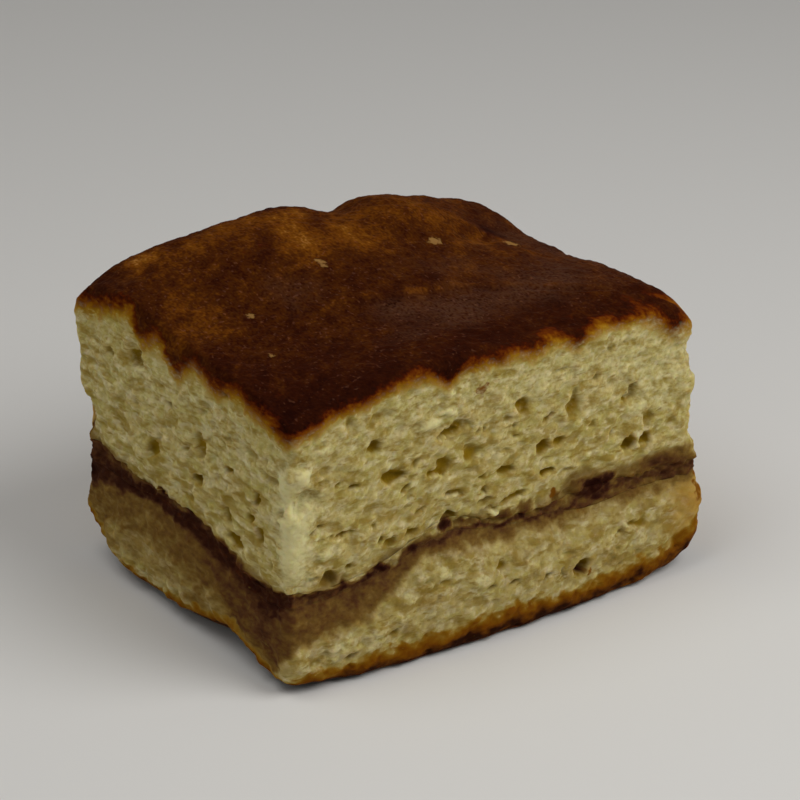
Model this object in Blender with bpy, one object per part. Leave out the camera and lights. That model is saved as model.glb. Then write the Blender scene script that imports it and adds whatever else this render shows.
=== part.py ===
"""A square cut of cinnamon coffee cake: two layers of yellow crumb with a cinnamon ribbon baked between them.

Metres, +Z up. The wide cut face looks along -Y, the narrow cut face along -X, and the cake stands on Z = 0
with the middle of its bounding box over the origin.
"""

from collections import namedtuple

import bmesh
import bpy
import numpy as np
from mathutils import Matrix, Vector

MM = 0.001


def in_metres(kind, rows):
    """Rows of sizes in millimetres, as a list of that kind of named tuple in metres."""
    return [kind(*(size * MM for size in row)) for row in rows]


# Driving sizes of the cut piece
WIDTH = 71.4 * MM
DEPTH = 55.6 * MM
RIM_HEIGHT = 42.2 * MM
RIBBON_HEIGHT = 15.8 * MM
RIBBON_THICKNESS = 1.3 * MM
LAYER_GAP = 0.3 * MM

# How much further out a side is at its foot than at the rim; the back leans out towards the rim instead
LEFT_LEAN = 1.2 * MM
RIGHT_LEAN = 1.4 * MM
BACK_LEAN = -4.0 * MM

# Plan radii of the four upright corners, front ones first
FRONT_LEFT_RADIUS = 2.2 * MM
FRONT_RIGHT_RADIUS = 3.0 * MM
BACK_LEFT_RADIUS = 2.4 * MM
BACK_RIGHT_RADIUS = 9.0 * MM

# Rounding of the top and bottom edges at the knife cuts
CUT_EDGE_RADIUS = 1.6 * MM

# Rounding of the edges baked against the tin: a radius, and the share of a full quarter round that is left
Rounding = namedtuple("Rounding", "radius share")
RIGHT_TOP_ROUNDING = Rounding(6.0 * MM, 0.8)
BACK_TOP_ROUNDING = Rounding(6.0 * MM, 0.35)
RIGHT_FOOT_ROUNDING = Rounding(7.0 * MM, 0.3)
BACK_FOOT_ROUNDING = Rounding(7.0 * MM, 0.15)

# The lower layer swells past the upper one, most in the middle of the wide cut face
SIDE_FOOT_BULGE = 0.8 * MM
FRONT_FOOT_BULGE = 2.8 * MM
FRONT_BULGE_SPAN = 1.15 * WIDTH

# The ribbon lies back in a groove between the layers, except on the right, the side baked against the tin
RIBBON_GROOVE = 0.9 * MM
GROOVE_REACH = 3.2 * MM

# Crags of the torn crumb on the upright faces: crossed waves, with their turns in each crag length
CRAG_DEPTH = 0.32 * MM
CRAG_LENGTH = 7.0 * MM
CRAG_FADE = 2.0 * MM
Wave = namedtuple("Wave", "share per_x per_y per_z phase phase_z")
CRAG_WAVES = [
    Wave(0.50, 1.0, 0.6, 0.9, 1.3, 0.4),
    Wave(0.35, -0.7, 1.7, 1.5, 2.1, 1.1),
    Wave(0.25, 2.3, 2.3, 2.2, 0.7, 2.6),
]

# A swell raises (or, below zero, lowers) a surface round one place, fading out over its reach
Swell = namedtuple("Swell", "x y reach_x reach_y rise")

CRUST_SWELLS = in_metres(
    Swell,
    (
        (-4.0, 20.0, 25.0, 27.0, 5.4),
        (13.5, 16.5, 9.5, 8.0, 2.4),
        (4.2, 23.0, 4.5, 8.0, -1.7),
        (21.5, 6.5, 3.4, 3.0, -1.2),
        (-2.0, 28.0, 5.0, 6.0, 0.6),
        (-21.0, 18.0, 13.0, 10.0, 1.7),
        (-10.0, -26.0, 13.0, 10.0, 1.6),
        (24.0, -18.0, 9.0, 9.0, 0.9),
        (-36.0, -28.0, 9.0, 9.0, -2.6),
        (36.0, -28.0, 8.0, 7.0, -2.0),
        (-38.0, 29.0, 6.0, 6.0, -1.6),
        (-36.0, 13.0, 9.0, 7.0, 1.0),
        (30.5, 11.0, 6.0, 7.0, -2.4),
    ),
)

RIBBON_SWELLS = in_metres(
    Swell,
    (
        (-36.0, -20.0, 14.0, 8.0, -3.2),
        (-36.0, 4.0, 12.0, 9.0, 1.3),
        (-36.0, 22.0, 12.0, 7.0, 1.6),
        (-9.0, -28.0, 6.5, 12.0, 2.6),
        (-26.0, -28.0, 8.0, 8.0, -1.2),
        (12.0, 18.0, 16.0, 10.0, 1.2),
    ),
)

THICKNESS_SWELLS = in_metres(
    Swell,
    (
        (-36.0, 22.0, 9.0, 8.0, 2.2),
        (-36.0, -27.0, 7.0, 7.0, 0.9),
        (17.0, -28.0, 5.0, 7.0, 1.7),
        (30.0, -28.0, 8.0, 7.0, 1.1),
        (-8.0, -28.0, 4.0, 6.0, 0.8),
        (-36.0, -2.0, 8.0, 6.0, 0.6),
    ),
)

FOOT_LIFTS = in_metres(
    Swell,
    (
        (-37.0, 29.0, 9.0, 9.0, 7.4),
        (-36.0, -13.5, 8.0, 7.0, 2.4),
        (-36.0, -6.0, 8.0, 30.0, 1.7),
        (37.0, -29.0, 8.0, 6.0, 1.6),
        (3.0, 29.0, 10.0, 7.0, 1.2),
    ),
)
FLAT_FOOT_MARGIN = 9.0 * MM

# Cavities large enough to see from a step away: place along the face, height, half width, half height, depth
Cavity = namedtuple("Cavity", "along height half_width half_height depth")

WIDE_FACE_CAVITIES = in_metres(
    Cavity,
    (
        (-32.4, 27.7, 1.0, 1.6, 1.2),
        (-18.9, 29.3, 2.0, 1.1, 1.3),
        (-9.6, 33.5, 2.4, 0.8, 1.0),
        (3.3, 34.3, 1.3, 1.3, 1.2),
        (12.5, 32.3, 1.1, 1.9, 1.2),
        (22.0, 30.2, 1.6, 0.8, 1.1),
        (7.2, 26.9, 1.2, 1.2, 1.3),
        (25.4, 22.9, 1.3, 2.0, 1.4),
        (27.4, 26.3, 1.1, 1.3, 0.9),
        (8.4, 22.9, 1.6, 0.7, 1.1),
        (13.8, 5.6, 1.6, 1.1, 1.7),
    ),
)

NARROW_FACE_CAVITIES = in_metres(
    Cavity,
    (
        (11.4, 36.9, 1.8, 1.7, 1.3),
        (-5.6, 29.7, 1.2, 1.6, 1.2),
        (8.6, 23.7, 0.9, 2.0, 1.1),
        (-19.6, 27.2, 1.2, 1.1, 1.2),
        (-12.4, 21.9, 1.4, 1.1, 1.2),
        (27.3, 22.2, 1.9, 1.5, 2.0),
    ),
)

# Lattice of the blocks: the plan is cut about every 3 mm, closer together near the faces
PLAN_PITCH = 3.1 * MM
EDGE_STATIONS = [0.5 * MM, 1.5 * MM]
UPPER_LEVELS = [0.1, 0.2, 0.3, 0.4, 0.5, 0.6, 0.7, 0.8, 0.9, 0.95, 0.983]
LOWER_LEVELS = [0.035, 0.11, 0.28, 0.46, 0.64, 0.82]

# Limits of the point searches: lengths too short to matter, and one longer than the cake
TINY = 1e-9
SHARE_WHERE_FLAT = 1e-6
FAR_AWAY = 1.0
NEAREST_POINTS = 4

# Looks of the three pieces: linear colour and roughness
CRUMB_LOOK = ((0.52, 0.42, 0.19), 0.85)
RIBBON_LOOK = ((0.075, 0.032, 0.022), 0.55)


def swelled(swells, x, y):
    """Sum of the swells at each place of the plan: rise times exp(-(dx/reach)^2 - (dy/reach)^2)."""
    total = np.zeros_like(x)
    for swell in swells:
        along = (x - swell.x) / swell.reach_x
        across = (y - swell.y) / swell.reach_y
        total += swell.rise * np.exp(-(along**2) - across**2)
    return total


def quarter_round(distance, radius):
    """Drop of a round edge at a distance from its face: a quarter circle of that radius."""
    inside = np.clip(1 - distance / radius, 0, 1)
    return radius * (1 - np.sqrt(1 - inside**2))


def baked_rounding(x, y, right, back):
    """How far the top or the underside comes in along the two sides that were baked against the tin."""
    from_right = right.share * quarter_round(WIDTH / 2 - x, right.radius)
    from_back = back.share * quarter_round(DEPTH / 2 - y, back.radius)
    return from_right + from_back


def crust_height(x, y):
    """Height of the browned top over the plan: a low dome, a hump, and round edges along the baked sides."""
    rounding = baked_rounding(x, y, RIGHT_TOP_ROUNDING, BACK_TOP_ROUNDING)
    return RIM_HEIGHT + swelled(CRUST_SWELLS, x, y) - rounding


def ribbon_height(x, y):
    """Height of the middle of the cinnamon ribbon."""
    return RIBBON_HEIGHT + swelled(RIBBON_SWELLS, x, y)


def ribbon_half(x, y):
    """Half of the ribbon's thickness."""
    return (RIBBON_THICKNESS + swelled(THICKNESS_SWELLS, x, y)) / 2


def ribbon_top(x, y):
    """Height of the ribbon's upper face."""
    return ribbon_height(x, y) + ribbon_half(x, y)


def ribbon_underside(x, y):
    """Height of the ribbon's lower face."""
    return ribbon_height(x, y) - ribbon_half(x, y)


def upper_underside(x, y):
    """Height of the upper layer's lower face."""
    return ribbon_top(x, y) + LAYER_GAP


def lower_top(x, y):
    """Height of the lower layer's upper face."""
    return ribbon_underside(x, y) - LAYER_GAP


def foot_height(x, y):
    """Height of the underside: flat in the middle, with edges that curl up off the board."""
    to_side = np.minimum(WIDTH / 2 - np.abs(x), DEPTH / 2 - np.abs(y))
    near_edge = np.clip(1 - to_side / FLAT_FOOT_MARGIN, 0, 1) ** 2
    rounding = baked_rounding(x, y, RIGHT_FOOT_ROUNDING, BACK_FOOT_ROUNDING)
    return swelled(FOOT_LIFTS, x, y) * near_edge + rounding


def corner_radii(x, y):
    """Plan radius of the upright corner in each quarter of the plan."""
    front = np.where(x < 0, FRONT_LEFT_RADIUS, FRONT_RIGHT_RADIUS)
    back = np.where(x < 0, BACK_LEFT_RADIUS, BACK_RIGHT_RADIUS)
    return np.where(y < 0, front, back)


def rounded_plan(x, y):
    """Square plan moved onto one with round corners, and the way out of the plan near each point.

    Within a corner's square, a point at (a, b) from the arc's centre keeps its direction and moves to a
    distance of max(a, b), so that the square's sides fall on the arc.
    """
    radius = corner_radii(x, y)
    past_x = np.maximum(np.abs(x) - (WIDTH / 2 - radius), 0)
    past_y = np.maximum(np.abs(y) - (DEPTH / 2 - radius), 0)
    far = np.hypot(past_x, past_y)
    both = (past_x > 0) & (past_y > 0)
    pull = np.where(both, np.maximum(past_x, past_y) / np.maximum(far, TINY), 1.0)
    round_x = np.sign(x) * (np.minimum(np.abs(x), WIDTH / 2 - radius) + past_x * pull)
    round_y = np.sign(y) * (np.minimum(np.abs(y), DEPTH / 2 - radius) + past_y * pull)
    nearer_x = np.abs(x) / WIDTH >= np.abs(y) / DEPTH
    weight_x = np.maximum(past_x, np.where(nearer_x, SHARE_WHERE_FLAT, 0))
    weight_y = np.maximum(past_y, np.where(nearer_x, 0, SHARE_WHERE_FLAT))
    length = np.hypot(weight_x, weight_y)
    return round_x, round_y, np.sign(x) * weight_x / length, np.sign(y) * weight_y / length


def crags(x, y, z):
    """Uneven depth of the torn crumb: the sum of the crossed waves, between about -1 and 1."""
    turn = 2 * np.pi / CRAG_LENGTH
    depth = np.zeros_like(x)
    for wave in CRAG_WAVES:
        along = np.sin(turn * (wave.per_x * x + wave.per_y * y) + wave.phase)
        depth += wave.share * along * np.sin(turn * wave.per_z * z + wave.phase_z)
    return depth


def face_push(x, y, z, out_x, out_y):
    """How far out a point of an upright face stands from the square plan, at its height.

    The leans turn about half of the rim's height. Under the ribbon, the wide cut face swells by half a cosine
    wave along its width, in full from half way down. The sides swell by half a sine wave over the layer's
    height, less towards the back.
    """
    below_middle = 0.5 - z / RIM_HEIGHT
    lean = np.maximum(-out_x, 0) * LEFT_LEAN + np.maximum(out_x, 0) * RIGHT_LEAN
    lean += np.maximum(out_y, 0) * BACK_LEAN
    under_ribbon = ribbon_height(x, y) - z
    down = np.clip(under_ribbon / RIBBON_HEIGHT, 0, 1)
    front = np.maximum(-out_y, 0) * np.clip(2 * down, 0, 1) * np.cos(np.pi * x / FRONT_BULGE_SPAN)
    side = np.sin(np.pi * down) * np.clip(0.5 - y / DEPTH, 0, 1)
    bulge = np.maximum(FRONT_FOOT_BULGE * front, SIDE_FOOT_BULGE * side)
    groove = RIBBON_GROOVE * (1 - np.maximum(out_x, 0)) * np.exp(-((under_ribbon / GROOVE_REACH) ** 2))
    return lean * below_middle + bulge - groove + CRAG_DEPTH * crags(x, y, z)


def lattice_block(levels):
    """A block over the plan, cut into a lattice by planes: its Z is 0 at the underside and 1 at the top."""
    block = bmesh.new()
    size = Matrix.Diagonal((WIDTH, DEPTH, 1.0, 1.0))
    bmesh.ops.create_cube(block, size=1.0, matrix=Matrix.Translation((0, 0, 0.5)) @ size)
    cuts = [(Vector((0, 0, level)), Vector((0, 0, 1))) for level in levels]
    for extent, axis in ((WIDTH, Vector((1, 0, 0))), (DEPTH, Vector((0, 1, 0)))):
        inner = extent - 2 * EDGE_STATIONS[-1]
        steps = round(inner / PLAN_PITCH)
        stations = [-extent / 2 + EDGE_STATIONS[-1] + inner * step / steps for step in range(steps + 1)]
        stations += [side * (extent / 2 - inset) for inset in EDGE_STATIONS[:-1] for side in (-1, 1)]
        cuts += [(axis * station, axis) for station in stations]
    for place, normal in cuts:
        everything = block.verts[:] + block.edges[:] + block.faces[:]
        bmesh.ops.bisect_plane(block, geom=everything, dist=TINY, plane_co=place, plane_no=normal)
    block.normal_update()
    return block


def mould(points, underside, top, top_radius, foot_radius):
    """Moves a lattice block's points onto the baked layer.

    underside and top are heights over the plan. A point nearer than the radius to both an upright face and
    the top (or underside) moves onto a quarter circle. What the push moves out keeps its level between them.
    """
    x, y, level = points.T
    to_side = np.minimum(WIDTH / 2 - np.abs(x), DEPTH / 2 - np.abs(y))
    round_x, round_y, out_x, out_y = rounded_plan(x, y)
    low, high = underside(round_x, round_y), top(round_x, round_y)
    drop = (1 - level) * (high - low)
    rise = level * (high - low)
    inward, sink, lift = np.zeros_like(x), np.zeros_like(x), np.zeros_like(x)
    for radius, away, shift in ((top_radius, drop, sink), (foot_radius, rise, lift)):
        if radius <= 0:
            continue
        past_side = np.maximum(radius - to_side, 0)
        past_end = np.maximum(radius - away, 0)
        both = (past_side > 0) & (past_end > 0)
        pull = np.maximum(past_side, past_end) / np.maximum(np.hypot(past_side, past_end), TINY)
        shift += np.where(both, past_end * (1 - pull), 0)
        inward += np.where(both, past_side * (1 - pull), 0)
    z = high - drop - sink + lift
    on_face = np.clip(1 - to_side / CRAG_FADE, 0, 1)
    push = face_push(round_x, round_y, z, out_x, out_y) * on_face
    new_x = round_x + out_x * (push - inward)
    new_y = round_y + out_y * (push - inward)
    from_top = z - high + top(new_x, new_y)
    from_underside = z - low + underside(new_x, new_y)
    return np.stack([new_x, new_y, from_underside + (from_top - from_underside) * level], axis=1)


def crumb_material(name, look):
    """A plain Principled material of one colour and roughness."""
    colour, roughness = look
    material = bpy.data.materials.new(name)
    material.use_nodes = True
    shader = material.node_tree.nodes["Principled BSDF"]
    shader.inputs["Base Color"].default_value = (*colour, 1.0)
    shader.inputs["Roughness"].default_value = roughness
    shader.inputs["Metallic"].default_value = 0.0
    return material


def make_layer(name, levels, underside, top, top_radius, foot_radius, material):
    """Builds one baked layer as a closed solid object."""
    block = lattice_block(levels)
    points = np.array([vert.co for vert in block.verts])
    for vert, place in zip(block.verts, mould(points, underside, top, top_radius, foot_radius)):
        vert.co = place
    bmesh.ops.triangulate(block, faces=block.faces[:], quad_method="SHORT_EDGE")
    bmesh.ops.recalc_face_normals(block, faces=block.faces[:])
    mesh = bpy.data.meshes.new(name)
    block.to_mesh(mesh)
    block.free()
    layer = bpy.data.objects.new(name, mesh)
    bpy.context.scene.collection.objects.link(layer)
    mesh.materials.append(material)
    mesh.shade_smooth()
    return layer


def add_cavity(layer, index, place, half_sizes):
    """Hollows a large air bubble out of a cut face with a faceted ellipsoid."""
    ball = bmesh.new()
    bmesh.ops.create_icosphere(ball, subdivisions=2, radius=1.0, matrix=Matrix.Diagonal((*half_sizes, 1.0)))
    mesh = bpy.data.meshes.new(f"{layer.name}_cavity_{index}")
    ball.to_mesh(mesh)
    ball.free()
    cutter = bpy.data.objects.new(mesh.name, mesh)
    cutter.location = place
    cutter.hide_render = True
    cutter.display_type = "WIRE"
    bpy.context.scene.collection.objects.link(cutter)
    hollow = layer.modifiers.new(cutter.name, "BOOLEAN")
    hollow.operation = "DIFFERENCE"
    hollow.object = cutter
    hollow.solver = "EXACT"


def face_inset(points, axis, along, height):
    """Where a cut face lies at a place along it: the outermost coordinate of the nearest lattice points."""
    other = 1 - axis
    away = np.hypot(points[:, other] - along, points[:, 2] - height)
    front = points[:, axis] < 0
    near = np.argsort(np.where(front, away, FAR_AWAY))[:NEAREST_POINTS]
    return points[near, axis].min()


def open_cavities(upper, lower):
    """Cuts the visible cavities of both cut faces, each into the layer that it lies in."""
    for axis, cavities in ((1, WIDE_FACE_CAVITIES), (0, NARROW_FACE_CAVITIES)):
        for index, cavity in enumerate(cavities):
            layer = upper if cavity.height > RIBBON_HEIGHT else lower
            points = np.array([vert.co for vert in layer.data.vertices])
            face = face_inset(points, axis, cavity.along, cavity.height)
            if axis == 1:
                place = (cavity.along, face, cavity.height)
                halves = (cavity.half_width, cavity.depth, cavity.half_height)
            else:
                place = (face, cavity.along, cavity.height)
                halves = (cavity.depth, cavity.half_width, cavity.half_height)
            add_cavity(layer, f"{axis}_{index}", place, halves)


def centring_shift(layers):
    """The move that stands the pieces' bounding box on Z = 0 with its middle over the origin."""
    points = np.concatenate([[vert.co for vert in layer.data.vertices] for layer in layers])
    low, high = points.min(axis=0), points.max(axis=0)
    return Vector((-(low[0] + high[0]) / 2, -(low[1] + high[1]) / 2, -low[2]))


def centre_over_origin(layers, helpers):
    """Moves the finished pieces, and what cuts them, to the middle of the frame."""
    shift = centring_shift(layers)
    for layer in layers:
        layer.data.transform(Matrix.Translation(shift))
    for helper in helpers:
        helper.location += shift


def main():
    """Builds the lower layer, the ribbon and the upper layer."""
    for old in list(bpy.data.objects):
        bpy.data.objects.remove(old)
    crumb = crumb_material("yellow_crumb", CRUMB_LOOK)
    cinnamon = crumb_material("baked_cinnamon", RIBBON_LOOK)

    edge = CUT_EDGE_RADIUS
    lower = make_layer("lower_cake_layer", LOWER_LEVELS, foot_height, lower_top, 0.0, edge, crumb)
    ribbon = make_layer("cinnamon_ribbon", [], ribbon_underside, ribbon_top, 0.0, 0.0, cinnamon)
    upper = make_layer("upper_cake_layer", UPPER_LEVELS, upper_underside, crust_height, edge, 0.0, crumb)
    open_cavities(upper, lower)
    layers = [lower, ribbon, upper]
    helpers = [piece for piece in bpy.data.objects if piece not in layers]
    centre_over_origin(layers, helpers)


main()
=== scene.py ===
"""Looks of a square cut of cinnamon coffee cake: yellow crumb, a cinnamon ribbon and a dark baked top.

Lengths are in millimetres until a mesh is written in metres. +Z is up, the wide cut face looks along -Y, the
narrow cut face along -X, and the sides at +X and +Y were baked against the tin. Places on a cut face are given by
how far along it they lie (X on the wide face, Y on the narrow one) and by their height.
"""

import logging
import math
from collections.abc import Sequence
from dataclasses import dataclass, field
from enum import Enum

import bpy
import numpy as np
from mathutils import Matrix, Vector


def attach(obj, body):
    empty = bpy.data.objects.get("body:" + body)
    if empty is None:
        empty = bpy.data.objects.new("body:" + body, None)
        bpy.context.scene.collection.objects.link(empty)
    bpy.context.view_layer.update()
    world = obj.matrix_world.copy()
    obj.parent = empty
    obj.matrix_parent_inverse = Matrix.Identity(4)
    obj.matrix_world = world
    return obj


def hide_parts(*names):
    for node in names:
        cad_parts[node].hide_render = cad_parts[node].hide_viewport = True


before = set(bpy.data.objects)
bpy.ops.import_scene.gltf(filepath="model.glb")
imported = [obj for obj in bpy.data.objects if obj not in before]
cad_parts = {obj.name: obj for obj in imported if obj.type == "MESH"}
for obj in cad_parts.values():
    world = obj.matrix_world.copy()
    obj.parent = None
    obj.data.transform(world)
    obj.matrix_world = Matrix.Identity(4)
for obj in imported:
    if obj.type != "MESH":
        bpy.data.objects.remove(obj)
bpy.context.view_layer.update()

Array = np.ndarray
log = logging.getLogger("coffee_cake")

MM = 0.001
BODY = "root"
TINY = 1e-9
# The height of a pebble that lies level with the surface round it
LEVEL_PEBBLE = 0.7

# Steps to the corners of a grid cell, and to the cell with its 26 neighbours
CORNERS = np.array(np.meshgrid((0, 1), (0, 1), (0, 1))).T.reshape(-1, 3)
NEIGHBOURS = np.array(np.meshgrid((-1, 0, 1), (-1, 0, 1), (-1, 0, 1))).T.reshape(-1, 3)

# Multipliers that spread a cell's bits, and the one that mixes them
SPREAD = np.array((73856093, 19349663, 83492791), dtype=np.uint64)
SEED_SPREAD = 2654435761
MIXER = np.uint64(0xBF58476D1CE4E5B9)
HALF_BITS = np.uint64(31)
DROPPED_BITS = np.uint64(40)
KEPT_RANGE = 2.0**24

# The cake's patterns are drawn longer along Y: their places along it are multiplied by this
LONGER_ALONG_Y = 0.65

# Sockets of the node that mixes colours
MIX_FACTOR, MIX_A, MIX_B, MIX_RESULT = 0, 6, 7, 2


def smooth(share: Array) -> Array:
    """Smoothstep of a share held between 0 and 1: three times its square less twice its cube."""
    held = np.clip(share, 0.0, 1.0)
    return held * held * (3.0 - 2.0 * held)


def rising(value: Array, start: float, width: float) -> Array:
    """Smoothstep of a value: 0 up to the start, and 1 from a width past it."""
    return smooth((value - start) / width)


def falling(value: Array, end: float, width: float) -> Array:
    """Smoothstep of a value: 1 up to a width before the end, and 0 from the end on."""
    return smooth((end - value) / width)


def bell(off: Array, reach: float | Array) -> Array:
    """1 in the middle and fading out to both sides: exp of minus the squared distance, counted in reaches."""
    return np.exp(-((off / reach) ** 2))


def scatter(cells: Array, seed: int) -> Array:
    """Even random numbers from 0 to 1, one for each whole-number cell and the same at each run.

    The three numbers are multiplied by large primes and joined by exclusive or with the seed. The bits are then
    mixed twice, each time by a shift and a multiplication, and the highest ones are kept.

    Args:
        cells: whole numbers, three in each row.
        seed: picks another draw for the same cells.

    Returns:
        One number for each row.
    """
    whole = cells.astype(np.int64).astype(np.uint64) * SPREAD
    bits = whole[:, 0] ^ whole[:, 1] ^ whole[:, 2] ^ np.uint64(seed * SEED_SPREAD)
    for _ in range(2):
        bits = (bits ^ (bits >> HALF_BITS)) * MIXER
    return (bits >> DROPPED_BITS).astype(float) / KEPT_RANGE


def cloud(points: Array, size: float, seed: int) -> Array:
    """Smooth noise from -1 to 1: random values at a grid's corners, blended by smoothstep.

    Args:
        points: places in millimetres, three in each row.
        size: the grid's spacing.
        seed: the draw.

    Returns:
        One value for each point.
    """
    place = points / size
    cell = np.floor(place)
    ease = smooth(place - cell)
    total = np.zeros(len(points))
    for corner in CORNERS:
        weight = np.prod(np.where(corner, ease, 1.0 - ease), axis=1)
        total += weight * scatter(cell + corner, seed)
    return 2.0 * total - 1.0


def bubbles(points: Array, size: float, fill: float, seed: int) -> Array:
    """How deep each point lies in an air bubble, 0 outside.

    Each cell of a grid may hold one ball at a random place, with a radius of 0.2 to 0.5 of the cell. The depth is
    the half chord through the point: the root of the squared radius less the squared distance to the centre.

    Args:
        points: places in millimetres, three in each row.
        size: the grid's spacing.
        fill: the share of cells that hold a bubble.
        seed: the draw.

    Returns:
        The depth in millimetres at each point.
    """
    place = points / size
    cell = np.floor(place)
    deepest = np.zeros(len(points))
    for step in NEIGHBOURS:
        home = cell + step
        draws = [scatter(home, seed + turn) for turn in range(5)]
        centre = home + 0.5 + 0.8 * (np.stack(draws[:3], axis=1) - 0.5)
        radius = 0.2 + 0.3 * draws[3]
        left = radius**2 - ((place - centre) ** 2).sum(axis=1)
        held = np.where(draws[4] < fill, np.sqrt(np.clip(left, 0.0, None)), 0.0)
        deepest = np.maximum(deepest, held)
    return deepest * size


def pebbles(points: Array, size: float, seed: int) -> tuple[Array, Array]:
    """Round lumps packed side by side, and the creases between them.

    Each cell of a grid holds one centre at a random place. A lump's height is 1 less the squared distance to the
    nearest centre; a crease is where the two nearest centres are about as far.

    Args:
        points: places in millimetres, three in each row.
        size: the grid's spacing.
        seed: the draw.

    Returns:
        The lumps' height from 0 to 1, and the depth in the crease from 0 to 1.
    """
    place = points / size
    cell = np.floor(place)
    nearest, second = np.full(len(points), np.inf), np.full(len(points), np.inf)
    for step in NEIGHBOURS:
        home = cell + step
        centre = home + np.stack([scatter(home, seed + turn) for turn in range(3)], axis=1)
        away = ((place - centre) ** 2).sum(axis=1)
        second = np.minimum(second, np.maximum(nearest, away))
        nearest = np.minimum(nearest, away)
    return np.clip(1.0 - nearest, 0.0, 1.0), smooth(1.0 - (np.sqrt(second) - np.sqrt(nearest)) / 0.3)


def linear(colour: str) -> tuple[float, float, float, float]:
    """An sRGB hex colour as linear red, green, blue and alpha.

    Args:
        colour: a hash and six hex digits.

    Returns:
        Its linear shares, with an alpha of 1.
    """
    shares = (int(colour[start : start + 2], 16) / 255.0 for start in (1, 3, 5))
    red, green, blue = (
        share / 12.92 if share <= 0.04045 else ((share + 0.055) / 1.055) ** 2.4 for share in shares
    )
    return red, green, blue, 1.0


def per_metre(size: float) -> float:
    """Scale of a pattern whose features are that many millimetres apart."""
    return 1.0 / (size * MM)


def add_node(
    tree: bpy.types.NodeTree, kind: str, inputs: dict, stops: Sequence = (), **settings: object
) -> bpy.types.Node:
    """Adds a node with its settings and links.

    Args:
        tree: the material's node tree.
        kind: the node's type name.
        inputs: for each input's name or number, a value or the output to link to it.
        stops: places and hex colours of a colour ramp.
        settings: the node's own properties.

    Returns:
        The new node.
    """
    node = tree.nodes.new(kind)
    for name, value in settings.items():
        setattr(node, name, value)
    for name, value in inputs.items():
        if isinstance(value, bpy.types.NodeSocket):
            tree.links.new(value, node.inputs[name])
        else:
            node.inputs[name].default_value = value
    for count, (place, colour) in enumerate(stops):
        elements = node.color_ramp.elements
        stop = elements[count] if count < 2 else elements.new(place)
        stop.position, stop.color = place, linear(colour)
    return node


@dataclass(frozen=True)
class Swell:
    """Raises (or, below zero, lowers) something round one place of the plan, fading out over its reach."""

    x: float
    y: float
    reach_x: float
    reach_y: float
    rise: float


@dataclass(frozen=True)
class Drip:
    """Browning that runs down further (or, below zero, less far) round one place along a face."""

    along: float
    reach: float
    further: float


@dataclass(frozen=True)
class Dent:
    """A hollow in a cut face: its middle, half sizes and depth, and how much it climbs along the face."""

    along: float
    height: float
    half_width: float
    half_height: float
    depth: float
    climb: float = 0.0


@dataclass(frozen=True)
class Push:
    """Moves the surface out (or, below zero, in) round one place, fading out over its reach along each axis."""

    x: float
    y: float
    z: float
    reach_x: float
    reach_y: float
    reach_z: float
    out: float


@dataclass(frozen=True)
class Profile:
    """A value that changes along a face, given as places and the values there and joined by straight lines."""

    places: tuple[float, ...]
    values: tuple[float, ...]

    def at(self, along: Array) -> Array:
        """The value at each place."""
        return np.interp(along, self.places, self.values)


@dataclass(frozen=True)
class Grain:
    """A cloud or pebbles that raise something: by how much, the distance between the lumps, and the draw."""

    height: float
    size: float
    seed: int


@dataclass(frozen=True)
class Wobble:
    """Clouds that move points before a pattern is read at them: their size, by how much, and their draw."""

    size: float
    amount: float
    seed: int


@dataclass(frozen=True)
class Wave:
    """One of the crossed waves of the crags: its share, turns in a crag length along each axis, and phases."""

    share: float
    per_x: float
    per_y: float
    per_z: float
    phase: float
    phase_z: float


@dataclass(frozen=True)
class Rounding:
    """Rounding of an edge baked against the tin: a radius, and the share of a full quarter round that is left."""

    radius: float
    share: float


def swells(*rows: tuple[float, ...]) -> tuple[Swell, ...]:
    """Rows of numbers as swells."""
    return tuple(Swell(*row) for row in rows)


def drips(*rows: tuple[float, ...]) -> tuple[Drip, ...]:
    """Rows of numbers as drips."""
    return tuple(Drip(*row) for row in rows)


def dents(*rows: tuple[float, ...]) -> tuple[Dent, ...]:
    """Rows of numbers as dents."""
    return tuple(Dent(*row) for row in rows)


def pushes(*rows: tuple[float, ...]) -> tuple[Push, ...]:
    """Rows of numbers as pushes."""
    return tuple(Push(*row) for row in rows)


def grains(*rows: tuple[float, ...]) -> tuple[Grain, ...]:
    """Rows of numbers as grains."""
    return tuple(Grain(*row) for row in rows)


def grained(parts: Sequence[Grain], points: Array) -> Array:
    """Sum of the grains: for each, its height times its cloud."""
    return sum(part.height * cloud(points, part.size, part.seed) for part in parts)


def pushed(parts: Sequence[Push], points: Array) -> Array:
    """Sum of the pushes: for each, its way out times exp of minus the squared distance, counted in reaches.

    Args:
        parts: the pushes.
        points: places in millimetres, three in each row.

    Returns:
        How far out each point goes, in millimetres.
    """
    total = np.zeros(len(points))
    for part in parts:
        reach = np.array([part.reach_x, part.reach_y, part.reach_z])
        away = ((points - np.array([part.x, part.y, part.z])) / reach) ** 2
        total += part.out * np.exp(-away.sum(axis=1))
    return total


def warped(parts: Sequence[Wobble], points: Array) -> Array:
    """Points moved by each wobble in turn, by three clouds, one for each axis, so that a pattern gets ragged.

    Args:
        parts: the wobbles.
        points: places in millimetres, three in each row.

    Returns:
        The moved points.
    """
    for part in parts:
        clouds = [cloud(points, part.size, part.seed + axis) for axis in range(3)]
        points = points + part.amount * np.stack(clouds, axis=1)
    return points


def torn(points: Array, seed: int) -> Array:
    """Points moved by clouds of three sizes, so that the rim of a hollow read at them is torn like crumb."""
    return warped((Wobble(1.9, 0.45, seed), Wobble(1.0, 0.3, seed + 3), Wobble(0.55, 0.16, seed + 6)), points)


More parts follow.
